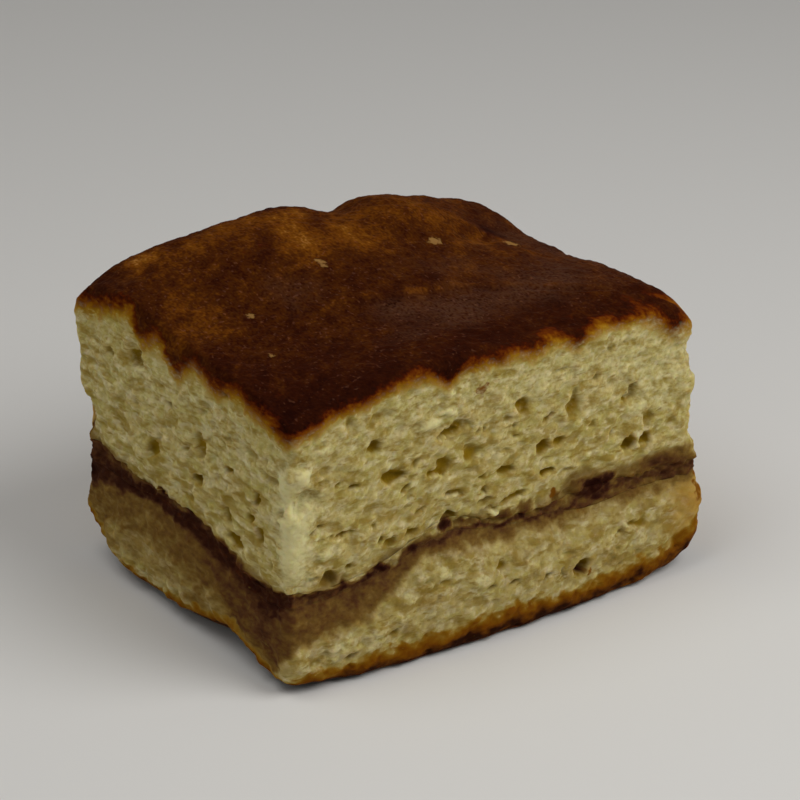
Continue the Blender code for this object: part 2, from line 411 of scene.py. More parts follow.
def swelled(parts: Sequence[Swell], x: Array, y: Array) -> Array:
    """Sum of the swells: for each, its rise times exp of minus the squared distance, counted in reaches.

    Args:
        parts: the swells.
        x: places across the plan, or along a face.
        y: places along its depth, or heights.

    Returns:
        One value for each place.
    """
    total = np.zeros(np.broadcast(x, y).shape)
    for part in parts:
        away = ((x - part.x) / part.reach_x) ** 2 + ((y - part.y) / part.reach_y) ** 2
        total += part.rise * np.exp(-away)
    return total


def dripped(parts: Sequence[Drip], along: Array) -> Array:
    """Sum of the drips at places along a face: for each, how much further it runs times a bell round it."""
    return sum(part.further * bell(along - part.along, part.reach) for part in parts)


def dented(parts: Sequence[Dent], along: Array, height: Array) -> Array:
    """Depth of the deepest dent at each place: its depth times (1 - q squared) to the power 0.6.

    q is the distance from the dent's middle, counted in half sizes, so that the rim is steep and the floor flat.

    Args:
        parts: the dents.
        along: places along the face.
        height: their heights.

    Returns:
        One depth for each place.
    """
    deepest = np.zeros(len(along))
    for part in parts:
        off = along - part.along
        away = (off / part.half_width) ** 2 + ((height - part.height - part.climb * off) / part.half_height) ** 2
        deepest = np.maximum(deepest, part.depth * np.clip(1.0 - away, 0.0, 1.0) ** 0.6)
    return deepest


def quarter_round(distance: Array, radius: float) -> Array:
    """Drop of a round edge at a distance from its face: a quarter circle of that radius."""
    inside = np.clip(1.0 - distance / radius, 0.0, 1.0)
    return radius * (1.0 - np.sqrt(1.0 - inside**2))


class Cap(Enum):
    """Which end of a layer is open to view and so has a fine grid."""

    TOP = "top"
    FOOT = "foot"
    NEITHER = "neither"


@dataclass
class Skin:
    """A closed surface in millimetres, with what its finish reads at each point."""

    points: Array
    faces: Array
    outward: Array
    marks: dict[str, Array] = field(default_factory=dict)

    def normals(self) -> Array:
        """Unit normals at the points: the sum of the cross products of the triangles round each.

        Returns:
            One unit vector for each point.
        """
        corners = self.points[self.faces]
        flat = np.cross(corners[:, 1] - corners[:, 0], corners[:, 2] - corners[:, 0])
        total = np.zeros_like(self.points)
        for corner in range(3):
            for axis in range(3):
                total[:, axis] += np.bincount(self.faces[:, corner], flat[:, axis], len(self.points))
        return total / np.maximum(np.linalg.norm(total, axis=1, keepdims=True), TINY)

    def piece(self, name: str, material: bpy.types.Material, shift: Array) -> bpy.types.Object:
        """Writes the surface into a mesh object at the origin.

        Args:
            name: the piece's name.
            material: its finish.
            shift: the move from the plan's own middle to the frame's origin.

        Returns:
            The object, in the scene.
        """
        mesh = bpy.data.meshes.new(name)
        mesh.vertices.add(len(self.points))
        mesh.vertices.foreach_set("co", ((self.points + shift) * MM).astype(np.float32).ravel())
        mesh.loops.add(self.faces.size)
        mesh.loops.foreach_set("vertex_index", self.faces.astype(np.int32).ravel())
        mesh.polygons.add(len(self.faces))
        mesh.polygons.foreach_set("loop_start", np.arange(0, self.faces.size, 3, dtype=np.int32))
        mesh.update(calc_edges=True)
        mesh.shade_smooth()
        for mark, values in self.marks.items():
            attribute = mesh.attributes.new(mark, "FLOAT", "POINT")
            attribute.data.foreach_set("value", np.clip(values, 0.0, 1.0).astype(np.float32))
        mesh.materials.append(material)
        made = bpy.data.objects.new(name, mesh)
        bpy.context.scene.collection.objects.link(made)
        return made


@dataclass(frozen=True)
class CakeForm:
    """The baked form of the whole cut, with the sizes and formulas of its solids."""

    width: float = 71.4
    depth: float = 55.6
    rim_height: float = 42.2
    ribbon_level: float = 15.8
    ribbon_thickness: float = 1.3
    # Below zero, as each layer reaches a little way into the ribbon
    layer_gap: float = -0.12
    # How far each face comes in from the foot to the rim; the back comes out
    left_lean: float = 1.2
    right_lean: float = 1.4
    back_lean: float = -4.0
    # Radii of the four upright corners
    front_left_radius: float = 1.4
    front_right_radius: float = 3.0
    back_left_radius: float = 2.4
    back_right_radius: float = 9.0
    right_top: Rounding = Rounding(6.0, 0.8)
    back_top: Rounding = Rounding(6.0, 0.35)
    right_foot: Rounding = Rounding(7.0, 0.3)
    back_foot: Rounding = Rounding(7.0, 0.15)
    # How far the lower layer bulges out, and the width over which the front does, as a share of the cake's
    side_foot_bulge: float = 0.8
    front_foot_bulge: float = 2.8
    front_bulge_share: float = 1.15
    # Depth of the groove along the ribbon, and how far up and down it reaches
    ribbon_groove: float = 0.9
    groove_reach: float = 3.2
    # Depth and length of the crags, and how far in from a face its bulges and crags fade out
    crag_depth: float = 0.32
    crag_length: float = 7.0
    face_fade: float = 2.0
    # The underside is flat up to this far in from its edges
    flat_foot_margin: float = 9.0
    # The move of the solids that brings the middle of their box over the frame's origin
    shift: tuple[float, float, float] = (0.013, 0.225, 0.0)
    crag_waves: tuple[Wave, ...] = (
        Wave(0.50, 1.0, 0.6, 0.9, 1.3, 0.4),
        Wave(0.35, -0.7, 1.7, 1.5, 2.1, 1.1),
        Wave(0.25, 2.3, 2.3, 2.2, 0.7, 2.6),
    )
    # The dome of the crust, with its hump and dips, and the rim's lower corners
    crust_swells: tuple[Swell, ...] = swells(
        (-4.0, 20.0, 25.0, 27.0, 5.4), (13.5, 16.5, 9.5, 8.0, 2.4), (4.2, 23.0, 4.5, 8.0, -1.7),
        (21.5, 6.5, 3.4, 3.0, -1.2), (-2.0, 28.0, 5.0, 6.0, 0.6), (-21.0, 18.0, 13.0, 10.0, 1.7),
        (-10.0, -26.0, 13.0, 10.0, 1.6), (24.0, -18.0, 9.0, 9.0, 0.9), (-36.0, -28.0, 9.0, 9.0, -2.6),
        (36.0, -28.0, 8.0, 7.0, -2.0), (-38.0, 29.0, 6.0, 6.0, -1.6), (-36.0, 13.0, 9.0, 7.0, 1.0),
        (30.5, 11.0, 6.0, 7.0, -2.4),
    )
    # Where the ribbon runs higher or lower, and where it is thicker
    ribbon_swells: tuple[Swell, ...] = swells(
        (-36.0, -20.0, 14.0, 8.0, -3.2),
        (-36.0, 4.0, 12.0, 9.0, 1.3),
        (-36.0, 22.0, 12.0, 7.0, 1.6),
        (-9.0, -28.0, 6.5, 12.0, 2.6),
        (-26.0, -28.0, 8.0, 8.0, -1.2),
        (12.0, 18.0, 16.0, 10.0, 1.2),
    )
    thickness_swells: tuple[Swell, ...] = swells(
        (-36.0, 22.0, 9.0, 8.0, 2.2),
        (-36.0, -27.0, 7.0, 7.0, 0.9),
        (17.0, -28.0, 5.0, 7.0, 1.7),
        (30.0, -28.0, 8.0, 7.0, 1.1),
        (-8.0, -28.0, 4.0, 6.0, 0.8),
        (-36.0, -2.0, 8.0, 6.0, 0.6),
    )
    # Where the edges of the underside curl up
    foot_lifts: tuple[Swell, ...] = swells(
        (-37.0, 29.0, 9.0, 9.0, 7.4),
        (-36.0, -13.5, 8.0, 7.0, 2.4),
        (-36.0, -6.0, 8.0, 30.0, 1.7),
        (37.0, -29.0, 8.0, 6.0, 1.6),
        (3.0, 29.0, 10.0, 7.0, 1.2),
    )

    def baked_rounding(self, x: Array, y: Array, right: Rounding, back: Rounding) -> Array:
        """How far the top or the underside comes in along the two sides baked against the tin.

        Args:
            x: places across the plan.
            y: places along its depth.
            right: the rounding of the edge at +X.
            back: the rounding of the edge at +Y.

        Returns:
            How far in, as millimetres of height.
        """
        from_right = right.share * quarter_round(self.width / 2 - x, right.radius)
        from_back = back.share * quarter_round(self.depth / 2 - y, back.radius)
        return from_right + from_back

    def crust_height(self, x: Array, y: Array) -> Array:
        """Height of the browned top: a rim, a low dome with a hump, and round edges along the baked sides."""
        rounding = self.baked_rounding(x, y, self.right_top, self.back_top)
        return self.rim_height + swelled(self.crust_swells, x, y) - rounding

    def ribbon_height(self, x: Array, y: Array) -> Array:
        """Height of the middle of the cinnamon ribbon."""
        return self.ribbon_level + swelled(self.ribbon_swells, x, y)

    def ribbon_half(self, x: Array, y: Array) -> Array:
        """Half of the ribbon's thickness."""
        return (self.ribbon_thickness + swelled(self.thickness_swells, x, y)) / 2

    def ribbon_top(self, x: Array, y: Array) -> Array:
        """Height of the ribbon's upper face."""
        return self.ribbon_height(x, y) + self.ribbon_half(x, y)

    def ribbon_underside(self, x: Array, y: Array) -> Array:
        """Height of the ribbon's lower face."""
        return self.ribbon_height(x, y) - self.ribbon_half(x, y)

    def upper_underside(self, x: Array, y: Array) -> Array:
        """Height of the upper layer's lower face."""
        return self.ribbon_top(x, y) + self.layer_gap

    def lower_top(self, x: Array, y: Array) -> Array:
        """Height of the lower layer's upper face."""
        return self.ribbon_underside(x, y) - self.layer_gap

    def foot_height(self, x: Array, y: Array) -> Array:
        """Height of the underside: flat in the middle, with edges that curl up off the board.

        Args:
            x: places across the plan.
            y: places along its depth.

        Returns:
            The height over the board at each place.
        """
        to_side = np.minimum(self.width / 2 - np.abs(x), self.depth / 2 - np.abs(y))
        near_edge = np.clip(1.0 - to_side / self.flat_foot_margin, 0.0, 1.0) ** 2
        rounding = self.baked_rounding(x, y, self.right_foot, self.back_foot)
        return swelled(self.foot_lifts, x, y) * near_edge + rounding

    def rounded_plan(self, x: Array, y: Array) -> tuple[Array, Array, Array, Array]:
        """Square plan moved onto one with round corners, and the way out of the plan near each point.

        Within a corner's square, a point at (a, b) from the arc's centre keeps its direction and moves to a
        distance of the larger of a and b, so that the square's sides fall on the arc.

        Args:
            x: places across the plan.
            y: places along its depth.

        Returns:
            The moved x and y, and the x and y of the way out.
        """
        front = np.where(x < 0, self.front_left_radius, self.front_right_radius)
        back = np.where(x < 0, self.back_left_radius, self.back_right_radius)
        radius = np.where(y < 0, front, back)
        past_x = np.maximum(np.abs(x) - (self.width / 2 - radius), 0.0)
        past_y = np.maximum(np.abs(y) - (self.depth / 2 - radius), 0.0)
        far = np.maximum(np.hypot(past_x, past_y), TINY)
        pull = np.where((past_x > 0) & (past_y > 0), np.maximum(past_x, past_y) / far, 1.0)
        round_x = np.sign(x) * (np.minimum(np.abs(x), self.width / 2 - radius) + past_x * pull)
        round_y = np.sign(y) * (np.minimum(np.abs(y), self.depth / 2 - radius) + past_y * pull)
        nearer_x = np.abs(x) / self.width >= np.abs(y) / self.depth
        weight_x = np.maximum(past_x, np.where(nearer_x, TINY, 0.0))
        weight_y = np.maximum(past_y, np.where(nearer_x, 0.0, TINY))
        length = np.hypot(weight_x, weight_y)
        return round_x, round_y, np.sign(x) * weight_x / length, np.sign(y) * weight_y / length

    def face_push(self, x: Array, y: Array, z: Array, out_x: Array, out_y: Array) -> Array:
        """How far out an upright face stands from the square plan: its lean, bulges, groove and crags.

        Args:
            x: places across the plan.
            y: places along its depth.
            z: their heights.
            out_x: the way out of the plan, across it.
            out_y: the same, along its depth.

        Returns:
            The push in millimetres at each place.
        """
        below_middle = 0.5 - z / self.rim_height
        lean = np.maximum(-out_x, 0) * self.left_lean + np.maximum(out_x, 0) * self.right_lean
        lean += np.maximum(out_y, 0) * self.back_lean
        under_ribbon = self.ribbon_height(x, y) - z
        down = np.clip(under_ribbon / self.ribbon_level, 0.0, 1.0)
        across = np.cos(np.pi * x / (self.front_bulge_share * self.width))
        front = np.maximum(-out_y, 0) * np.clip(2 * down, 0, 1) * across
        side = np.sin(np.pi * down) * np.clip(0.5 - y / self.depth, 0.0, 1.0)
        bulge = np.maximum(self.front_foot_bulge * front, self.side_foot_bulge * side)
        kept = np.exp(-((under_ribbon / self.groove_reach) ** 2))
        groove = self.ribbon_groove * (1.0 - np.maximum(out_x, 0)) * kept
        turn = 2 * np.pi / self.crag_length
        crags = np.zeros_like(x)
        for wave in self.crag_waves:
            along = np.sin(turn * (wave.per_x * x + wave.per_y * y) + wave.phase)
            crags += wave.share * along * np.sin(turn * wave.per_z * z + wave.phase_z)
        return lean * below_middle + bulge - groove + self.crag_depth * crags

    def mould(self, block: Array, layer: "Layer") -> tuple[Array, Array]:
        """Moves a square block's points onto a baked layer.

        A point nearer than the radius to both an upright face and an end moves onto a quarter circle. What the
        push moves out keeps its level between the underside and the top.

        Args:
            block: x, y and the level from 0 at the underside to 1 at the top, in each row.
            layer: gives the heights of the two ends and their edge radii.

        Returns:
            The places, and the x and y of the way out of the plan.
        """
        x, y, level = block.T
        to_side = np.minimum(self.width / 2 - np.abs(x), self.depth / 2 - np.abs(y))
        round_x, round_y, out_x, out_y = self.rounded_plan(x, y)
        low, high = layer.underside(round_x, round_y), layer.top(round_x, round_y)
        drop = (1.0 - level) * (high - low)
        rise = level * (high - low)
        inward, sink, lift = np.zeros_like(x), np.zeros_like(x), np.zeros_like(x)
        for radius, away, shift in ((layer.top_radius, drop, sink), (layer.foot_radius, rise, lift)):
            past_side = np.maximum(radius - to_side, 0.0)
            past_end = np.maximum(radius - away, 0.0)
            both = (past_side > 0) & (past_end > 0)
            pull = np.maximum(past_side, past_end) / np.maximum(np.hypot(past_side, past_end), TINY)
            shift += np.where(both, past_end * (1.0 - pull), 0.0)
            inward += np.where(both, past_side * (1.0 - pull), 0.0)
        z = high - drop - sink + lift
        on_face = np.clip(1.0 - to_side / self.face_fade, 0.0, 1.0)
        push = self.face_push(round_x, round_y, z, out_x, out_y) * on_face
        new_x = round_x + out_x * (push - inward)
        new_y = round_y + out_y * (push - inward)
        from_top = z - high + layer.top(new_x, new_y)
        from_underside = z - low + layer.underside(new_x, new_y)
        new_z = from_underside + (from_top - from_underside) * level
        return np.stack([new_x, new_y, new_z], axis=1), np.stack([out_x, out_y], axis=1)


@dataclass
class Layer:
    """A baked layer of the cake: how its ends lie, how fine its grid is, and how its surface is dressed."""

    form: CakeForm
    name: str = ""
    node: str = ""
    slot: str = ""
    # Spacing of the grid's points across the plan and up the walls
    plan_pitch: float = 0.345
    level_pitch: float = 0.38
    # Radii of the edges between the walls and the two ends
    top_radius: float = 1.6
    foot_radius: float = 0.5
    fine_cap: Cap = Cap.TOP
    # Sizes of the rings that close a hidden end, as shares of its outline
    ring_shares: tuple[float, ...] = (0.985, 0.94, 0.86, 0.74, 0.58, 0.4, 0.2)
    # Small corrections of the layer's outline
    trims: tuple[Push, ...] = ()

    def top(self, x: Array, y: Array) -> Array:
        """Height of the layer's top over the plan."""
        raise NotImplementedError

    def underside(self, x: Array, y: Array) -> Array:
        """Height of the layer's underside over the plan."""
        raise NotImplementedError

    def wall_height(self) -> float:
        """Height of the walls that the rows of the grid are counted from."""
        raise NotImplementedError

    def cap_grid(self, loop: Array, level: float, first: int, steps: tuple[int, int]) -> tuple[Array, Array]:
        """A square grid over the plan that closes one end of the block.

        Args:
            loop: numbers of the wall's points round that end.
            level: 0 for the underside, 1 for the top.
            first: the number that the first new point gets.
            steps: cells across and along the plan.

        Returns:
            The new points, and the grid's quads facing up.
        """
        across, along = steps
        grid = np.zeros((across + 1, along + 1), dtype=np.int64)
        grid[:across, 0] = loop[:across]
        grid[across, :along] = loop[across : across + along]
        grid[across:0:-1, along] = loop[across + along : 2 * across + along]
        grid[0, along:0:-1] = loop[2 * across + along :]
        inner = (across - 1, along - 1)
        grid[1:across, 1:along] = first + np.arange(inner[0] * inner[1]).reshape(inner)
        x = self.form.width * (np.arange(1, across) / across - 0.5)
        y = self.form.depth * (np.arange(1, along) / along - 0.5)
        place = np.stack([*np.meshgrid(x, y, indexing="ij"), np.full(inner, level)], axis=-1)
        quads = np.stack([grid[:-1, :-1], grid[1:, :-1], grid[1:, 1:], grid[:-1, 1:]], axis=-1)
        return place.reshape(-1, 3), quads.reshape(-1, 4)

    def cap_rings(self, loop: Array, edge: Array, level: float, first: int) -> tuple[Array, Array]:
        """Rings of the wall's outline, shrunk towards the middle and joined there, that close a hidden end.

        Args:
            loop: numbers of the wall's points round that end.
            edge: their places in the plan.
            level: 0 for the underside, 1 for the top.
            first: the number that the first new point gets.

        Returns:
            The new points, and quads facing up; the last ring's quads meet in the middle point.
        """
        count = len(loop)
        rings = [np.column_stack([edge * share, np.full(count, level)]) for share in self.ring_shares]
        middle = np.array([[0.0, 0.0, level]])
        numbers = [loop] + [first + count * turn + np.arange(count) for turn in range(len(rings))]
        centre = np.full(count, first + count * len(rings))
        quads = []
        for outer, inner in zip(numbers, numbers[1:] + [centre]):
            quads.append(np.stack([outer, np.roll(outer, -1), np.roll(inner, -1), inner], axis=1))
        return np.concatenate(rings + [middle]), np.concatenate(quads)

    def block(self) -> tuple[Array, Array]:
        """The closed skin of a square block over the plan, as points (x, y, level) and triangles facing out.

        Returns:
            The points, and three point numbers for each triangle.
        """
        across = round(self.form.width / self.plan_pitch)
        along = round(self.form.depth / self.plan_pitch)
        rows = max(round(self.wall_height() / self.level_pitch), 3)
        x = self.form.width * (np.arange(across) / across - 0.5)
        y = self.form.depth * (np.arange(along) / along - 0.5)
        half_x, half_y = np.full(along, self.form.width / 2), np.full(across, self.form.depth / 2)
        edge = np.concatenate(
            [np.column_stack(side) for side in ((x, -half_y), (half_x, y), (-x, half_y), (-half_x, -y))]
        )
        count = len(edge)
        levels = np.repeat(np.arange(rows + 1) / rows, count)
        wall = np.column_stack([np.tile(edge, (rows + 1, 1)), levels])
        numbers = np.arange(len(wall)).reshape(rows + 1, count)
        onward = np.roll(numbers, -1, axis=1)
        quads = [np.stack([numbers[:-1], onward[:-1], onward[1:], numbers[1:]], axis=-1).reshape(-1, 4)]
        points = [wall]
        for cap, loop, level in ((Cap.FOOT, numbers[0], 0.0), (Cap.TOP, numbers[-1], 1.0)):
            first = sum(len(part) for part in points)
            if cap is self.fine_cap:
                place, faces = self.cap_grid(loop, level, first, (across, along))
            else:
                place, faces = self.cap_rings(loop, edge, level, first)
            points.append(place)
            quads.append(faces if cap is Cap.TOP else faces[:, ::-1])
        corners = np.concatenate(quads)
        triangles = np.concatenate([corners[:, [0, 1, 2]], corners[:, [0, 2, 3]]])
        used = (triangles != np.roll(triangles, 1, axis=1)).all(axis=1)
        return np.concatenate(points), triangles[used]

    def skin(self) -> Skin:
        """The layer's surface, moulded and dressed.

        Returns:
            The surface, with its marks.
        """
        block, triangles = self.block()
        places, outward = self.form.mould(block, self)
        skin = Skin(places, triangles, outward)
        self.dress(skin, block[:, 2])
        return skin

    def ways(self, skin: Skin, level: Array) -> Array:
        """The way in which the trims move each point: square to the surface."""
        return skin.normals()

    def trim(self, skin: Skin, level: Array) -> None:
        """Moves the surface out or in where the layer is trimmed."""
        skin.points = skin.points + self.ways(skin, level) * pushed(self.trims, skin.points)[:, None]

    def dress(self, skin: Skin, level: Array) -> None:
        """Adds the layer's relief and what its finish reads."""
        raise NotImplementedError

    def build(self, finish: "Finish") -> bpy.types.Object:
        """Makes the layer's piece and sets it in the frame.

        Args:
            finish: gives the layer's material.

        Returns:
            The piece.
        """
        skin = self.skin()
        piece = skin.piece(self.name, finish.material(), np.array(self.form.shift))
        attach(piece, BODY)
        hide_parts(self.node)
        log.info("%s: %d triangles", self.name, len(skin.faces))
        return piece


def cut_share(skin: Skin) -> Array:
    """1 on the two cut faces, 0 on the two sides baked against the tin, and a quick change at the corners."""
    facing = np.maximum(-skin.outward[:, 0], -skin.outward[:, 1])
    return rising(facing, 0.3, 0.3)


def on_faces(skin: Skin, wide: Array, narrow: Array) -> Array:
    """Values of the wide and of the narrow face, blended round the corner between them; 0 on the baked sides."""
    share = rising(skin.outward[:, 0] - skin.outward[:, 1], -0.45, 0.9)
    return (narrow + (wide - narrow) * share) * cut_share(skin)


@dataclass(frozen=True)
class FaceSeam:
    """How the cinnamon filling darkens the crumb round the ribbon, along one cut face.

    The line is where the filling is darkest, its half is half the dark line's thickness, and below it the crumb
    is dense and brown over a depth, with a strength. Above it is the height over which the stain fades. Blots
    are clots of filling, with a strength in place of a depth, and clear places are lighter in the same way.
    """

    line: Profile
    half: Profile
    below: Profile
    strength: Profile
    above: Profile
    ink: float
    blots: tuple[Dent, ...]
    clear: tuple[Dent, ...] = ()
    # The dark line runs this many times further down than up, and fades out past its half thickness from this far
    sag: float = 1.5
    core: float = 1.3
    # Heights over which the dense band begins under the line, and ends at its depth
    dense_start: float = 0.6
    dense_edge: float = 3.2
    # How much darker the band is right under the line, and how far down
    shade: float = 0.1
    shade_reach: float = 2.6
    above_strength: float = 0.56
    above_start: float = 0.6

    def stain(self, along: Array, height: Array) -> Array:
        """How dark the face is stained.

        The dark line fades out round its half thickness, more slowly downwards. Under it the dense band keeps its
        strength down to its depth, and is darker right under the line. Above it the stain fades out by a bell
        curve. The darkest of the line, the blots, the band and the haze counts.

        Args:
            along: places along the face.
            height: heights of the places.

        Returns:
            0 for clean crumb to 1 for pure filling.
        """
        off = height - self.line.at(along)
        reach = self.half.at(along) * np.where(off < 0.0, self.sag, 1.0)
        ink = self.ink * smooth(self.core - np.abs(off) / reach)
        spots = dented(self.blots, along, height)
        kept = smooth((self.below.at(along) + off) / self.dense_edge + 0.5)
        dense = self.strength.at(along) * kept * smooth(0.5 - off / self.dense_start)
        dense += self.shade * bell(off, self.shade_reach) * (off < 0)
        dense -= dented(self.clear, along, height)
        above = self.above_strength * bell(off, np.where(off > 0.0, self.above.at(along), self.above_start))
        return np.maximum.reduce([ink, spots, dense, above])


@dataclass(frozen=True)
class Seam:
    """The stained crumb round the ribbon on both cut faces, with ragged edges."""

    wide: FaceSeam = FaceSeam(
        line=Profile(
            (-36.0, -34.4, -30.0, -26.6, -24.0, -22.2, -19.9, -17.4, -14.9, -13.4, -11.0, -9.3, -5.4, -3.9, -1.7)
            + (1.2, 3.0, 4.1, 6.4, 10.0, 14.6, 18.0, 21.7, 24.7, 26.9, 31.3, 36.0),
            (14.0, 14.2, 14.0, 13.9, 13.6, 14.1, 14.6, 14.9, 16.0, 16.6, 16.7, 17.0, 17.1, 17.2, 16.4)
            + (15.4, 15.9, 16.3, 15.2, 14.6, 15.5, 16.4, 16.2, 15.8, 16.1, 16.2, 16.0),
        ),
        half=Profile(
            (-36.0, -33.0, -29.0, -24.0, -17.0, -12.0, -8.0, -2.0, 1.0)
            + (4.0, 7.0, 12.0, 17.0, 20.0, 24.0, 28.0, 33.0, 36.0),
            (0.8, 0.5, 0.35, 0.4, 0.4, 0.45, 0.4, 0.45, 0.5, 0.5, 0.4, 0.4, 0.7, 0.7, 0.5, 0.7, 0.9, 0.9),
        ),
        below=Profile(
            (-36.0, -31.0, -27.5, -24.7, -20.3, -14.8, -10.9, -5.1, 3.3, 10.6, 17.8, 25.1, 36.0),
            (7.5, 6.4, 6.0, 5.4, 4.4, 2.2, 1.5, 2.8, 2.3, 1.7, 3.1, 3.2, 3.0),
        ),
        strength=Profile((-36.0, -30.0, -22.0, -10.0, 5.0, 36.0), (0.54, 0.56, 0.54, 0.48, 0.43, 0.42)),
        above=Profile((-36.0, 4.0, 9.0, 36.0), (1.0, 1.1, 2.8, 2.8)),
        ink=0.72,
        blots=dents(
            (-26.6, 13.9, 1.2, 0.75, 1.0), (-22.2, 14.1, 0.7, 0.5, 1.0), (-19.9, 14.8, 1.7, 0.75, 1.0),
            (-14.9, 16.0, 1.1, 0.6, 1.0), (-3.9, 17.3, 1.0, 0.6, 0.9), (0.8, 15.4, 1.6, 0.6, 0.9),
            (-9.2, 18.6, 1.2, 1.2, 0.95), (-6.0, 17.9, 3.4, 1.0, 0.62), (0.4, 17.3, 3.6, 1.4, 0.7),
            (4.6, 17.6, 2.2, 1.2, 0.6), (10.2, 17.4, 1.0, 1.8, 0.55), (4.3, 16.4, 0.9, 0.9, 0.9),
            (17.4, 16.9, 2.0, 1.8, 1.05), (16.2, 17.3, 2.0, 1.5, 0.95), (19.2, 17.6, 1.6, 1.3, 1.0),
            (19.6, 16.2, 1.8, 1.1, 0.95), (15.8, 16.0, 2.2, 1.2, 0.95), (18.0, 15.2, 2.2, 1.0, 0.9),
            (14.4, 18.6, 2.4, 1.0, 0.62), (16.2, 17.2, 6.0, 2.6, 0.62), (24.7, 16.2, 1.3, 0.7, 0.7),
            (28.5, 17.9, 2.2, 1.4, 0.75), (30.5, 17.5, 8.0, 2.8, 0.7), (35.0, 16.3, 2.4, 2.2, 0.74),
            (12.8, 6.7, 1.5, 1.0, 0.95),
        ),
    )
    # On the narrow face the dense band reaches down over nearly the whole lower layer: partly the filling's stain
    # and partly painted shade under the upper layer's overhang and near the board
    narrow: FaceSeam = FaceSeam(
        line=Profile(
            (-28.0, -23.4, -19.3, -14.3, -5.4, 0.0, 8.8, 15.8, 21.9, 28.0),
            (14.1, 12.9, 12.7, 13.9, 15.7, 16.3, 16.5, 15.8, 15.4, 15.2),
        ),
        half=Profile(
            (-28.0, -24.0, -18.0, -8.0, 0.0, 8.0, 15.0, 22.0, 28.0), (1.0, 1.7, 2.1, 2.2, 1.7, 1.2, 1.5, 2.4, 3.0)
        ),
        below=Profile((-28.0, -24.0, 20.0, 28.0), (9.0, 12.0, 12.0, 9.0)),
        strength=Profile((-28.0, -22.0, -5.0, 10.0, 28.0), (0.58, 0.68, 0.54, 0.46, 0.5)),
        above=Profile((-28.0, 15.0, 28.0), (1.3, 1.3, 3.0)),
        ink=0.86,
        blots=dents(
            (25.0, 14.6, 5.5, 4.0, 0.95),
            (5.7, 17.6, 1.2, 0.9, 0.95),
            (-0.2, 16.4, 1.4, 0.7, 0.9),
            (-20.0, 11.2, 3.5, 1.0, 0.9),
            (-24.5, 11.4, 2.2, 0.9, 0.9),
            (26.5, 20.2, 1.6, 1.3, 0.75),
        ),
        clear=dents(
            (0.1, 7.2, 6.0, 3.5, 0.2),
            (8.2, 7.0, 6.0, 3.5, 0.2),
            (-9.1, 6.5, 5.0, 3.5, 0.2),
            (16.0, 6.5, 5.0, 3.0, 0.18),
            (-20.6, 4.1, 4.0, 3.0, 0.16),
        ),
    )
    # What makes the stain's edges ragged
    wobbles: tuple[Wobble, ...] = (Wobble(2.6, 0.6, 301), Wobble(1.2, 0.35, 304))
    wander: tuple[Grain, ...] = grains((0.3, 0.8, 307))

    def stain(self, skin: Skin) -> Array:
        """The stain at each point of a surface; it keeps off the sides baked against the tin.

        Args:
            skin: the layer's surface.

        Returns:
            One value for each point, up to about 1 where the filling is thickest.
        """
        x, y, z = warped(self.wobbles, skin.points).T
        height = z + grained(self.wander, skin.points)
        return on_faces(skin, self.wide.stain(x, height), self.narrow.stain(y, height))


@dataclass(frozen=True)
class CrumbRelief:
    """The torn, spongy surface of a cut through crumb: lumps with creases between, and small flat air holes."""

    swell_size: float = 5.0
    swell_height: float = 0.3
    lump_sizes: tuple[float, ...] = (2.6, 1.3)
    lump_heights: tuple[float, ...] = (0.42, 0.27)
    grain_size: float = 0.75
    grain_height: float = 0.17
    # The holes' spacing, the share of places with a hole, and the share of its ball's depth that is open
    hole_sizes: tuple[float, ...] = (2.2, 1.4)
    hole_fills: tuple[float, ...] = (0.05, 0.1)
    hole_depths: tuple[float, ...] = (0.4, 0.5)
    flatness: float = 2.0
    # The lumps are read at places multiplied by this, which draws them long across and flat, and then wobbled
    lump_squeeze: tuple[float, float, float] = (0.82, 0.85, 1.3)
    wobble_size: float = 1.1
    wobble_amount: float = 0.45
    seed: int = 11

    def lumps(self, points: Array) -> tuple[Array, Array]:
        """Height of the lumps and depth in the creases: a slow cloud, two sizes of lump and a fine grain.

        Args:
            points: places in millimetres, three in each row.

        Returns:
            The rise in millimetres, and the crease from 0 to 1.
        """
        swell = (self.swell_height, self.swell_size, self.seed)
        rise = grained(grains(swell, (self.grain_height, self.grain_size, self.seed + 1)), points)
        wobble = Wobble(self.wobble_size, self.wobble_amount, self.seed + 2)
        ragged = warped((wobble,), points * np.array(self.lump_squeeze))
        crease = np.zeros(len(points))
        for turn, (size, height) in enumerate(zip(self.lump_sizes, self.lump_heights)):
            dome, between = pebbles(ragged, size, self.seed + 5 + 5 * turn)
            rise += height * (dome - LEVEL_PEBBLE)
            crease = np.maximum(crease, between)
        return rise, crease

    def holes(self, points: Array) -> Array:
        """Depth of the air holes: the deepest of two sizes of ball, flattened in height.

        Args:
            points: places in millimetres, three in each row.

        Returns:
            The depth in millimetres at each point.
        """
        flattened = points * np.array([1.0, 1.0, self.flatness])
        deepest = np.zeros(len(points))
        for turn, (size, fill, depth) in enumerate(zip(self.hole_sizes, self.hole_fills, self.hole_depths)):
            deepest = np.maximum(deepest, depth * bubbles(flattened, size, fill, self.seed + 40 + 10 * turn))
        return deepest


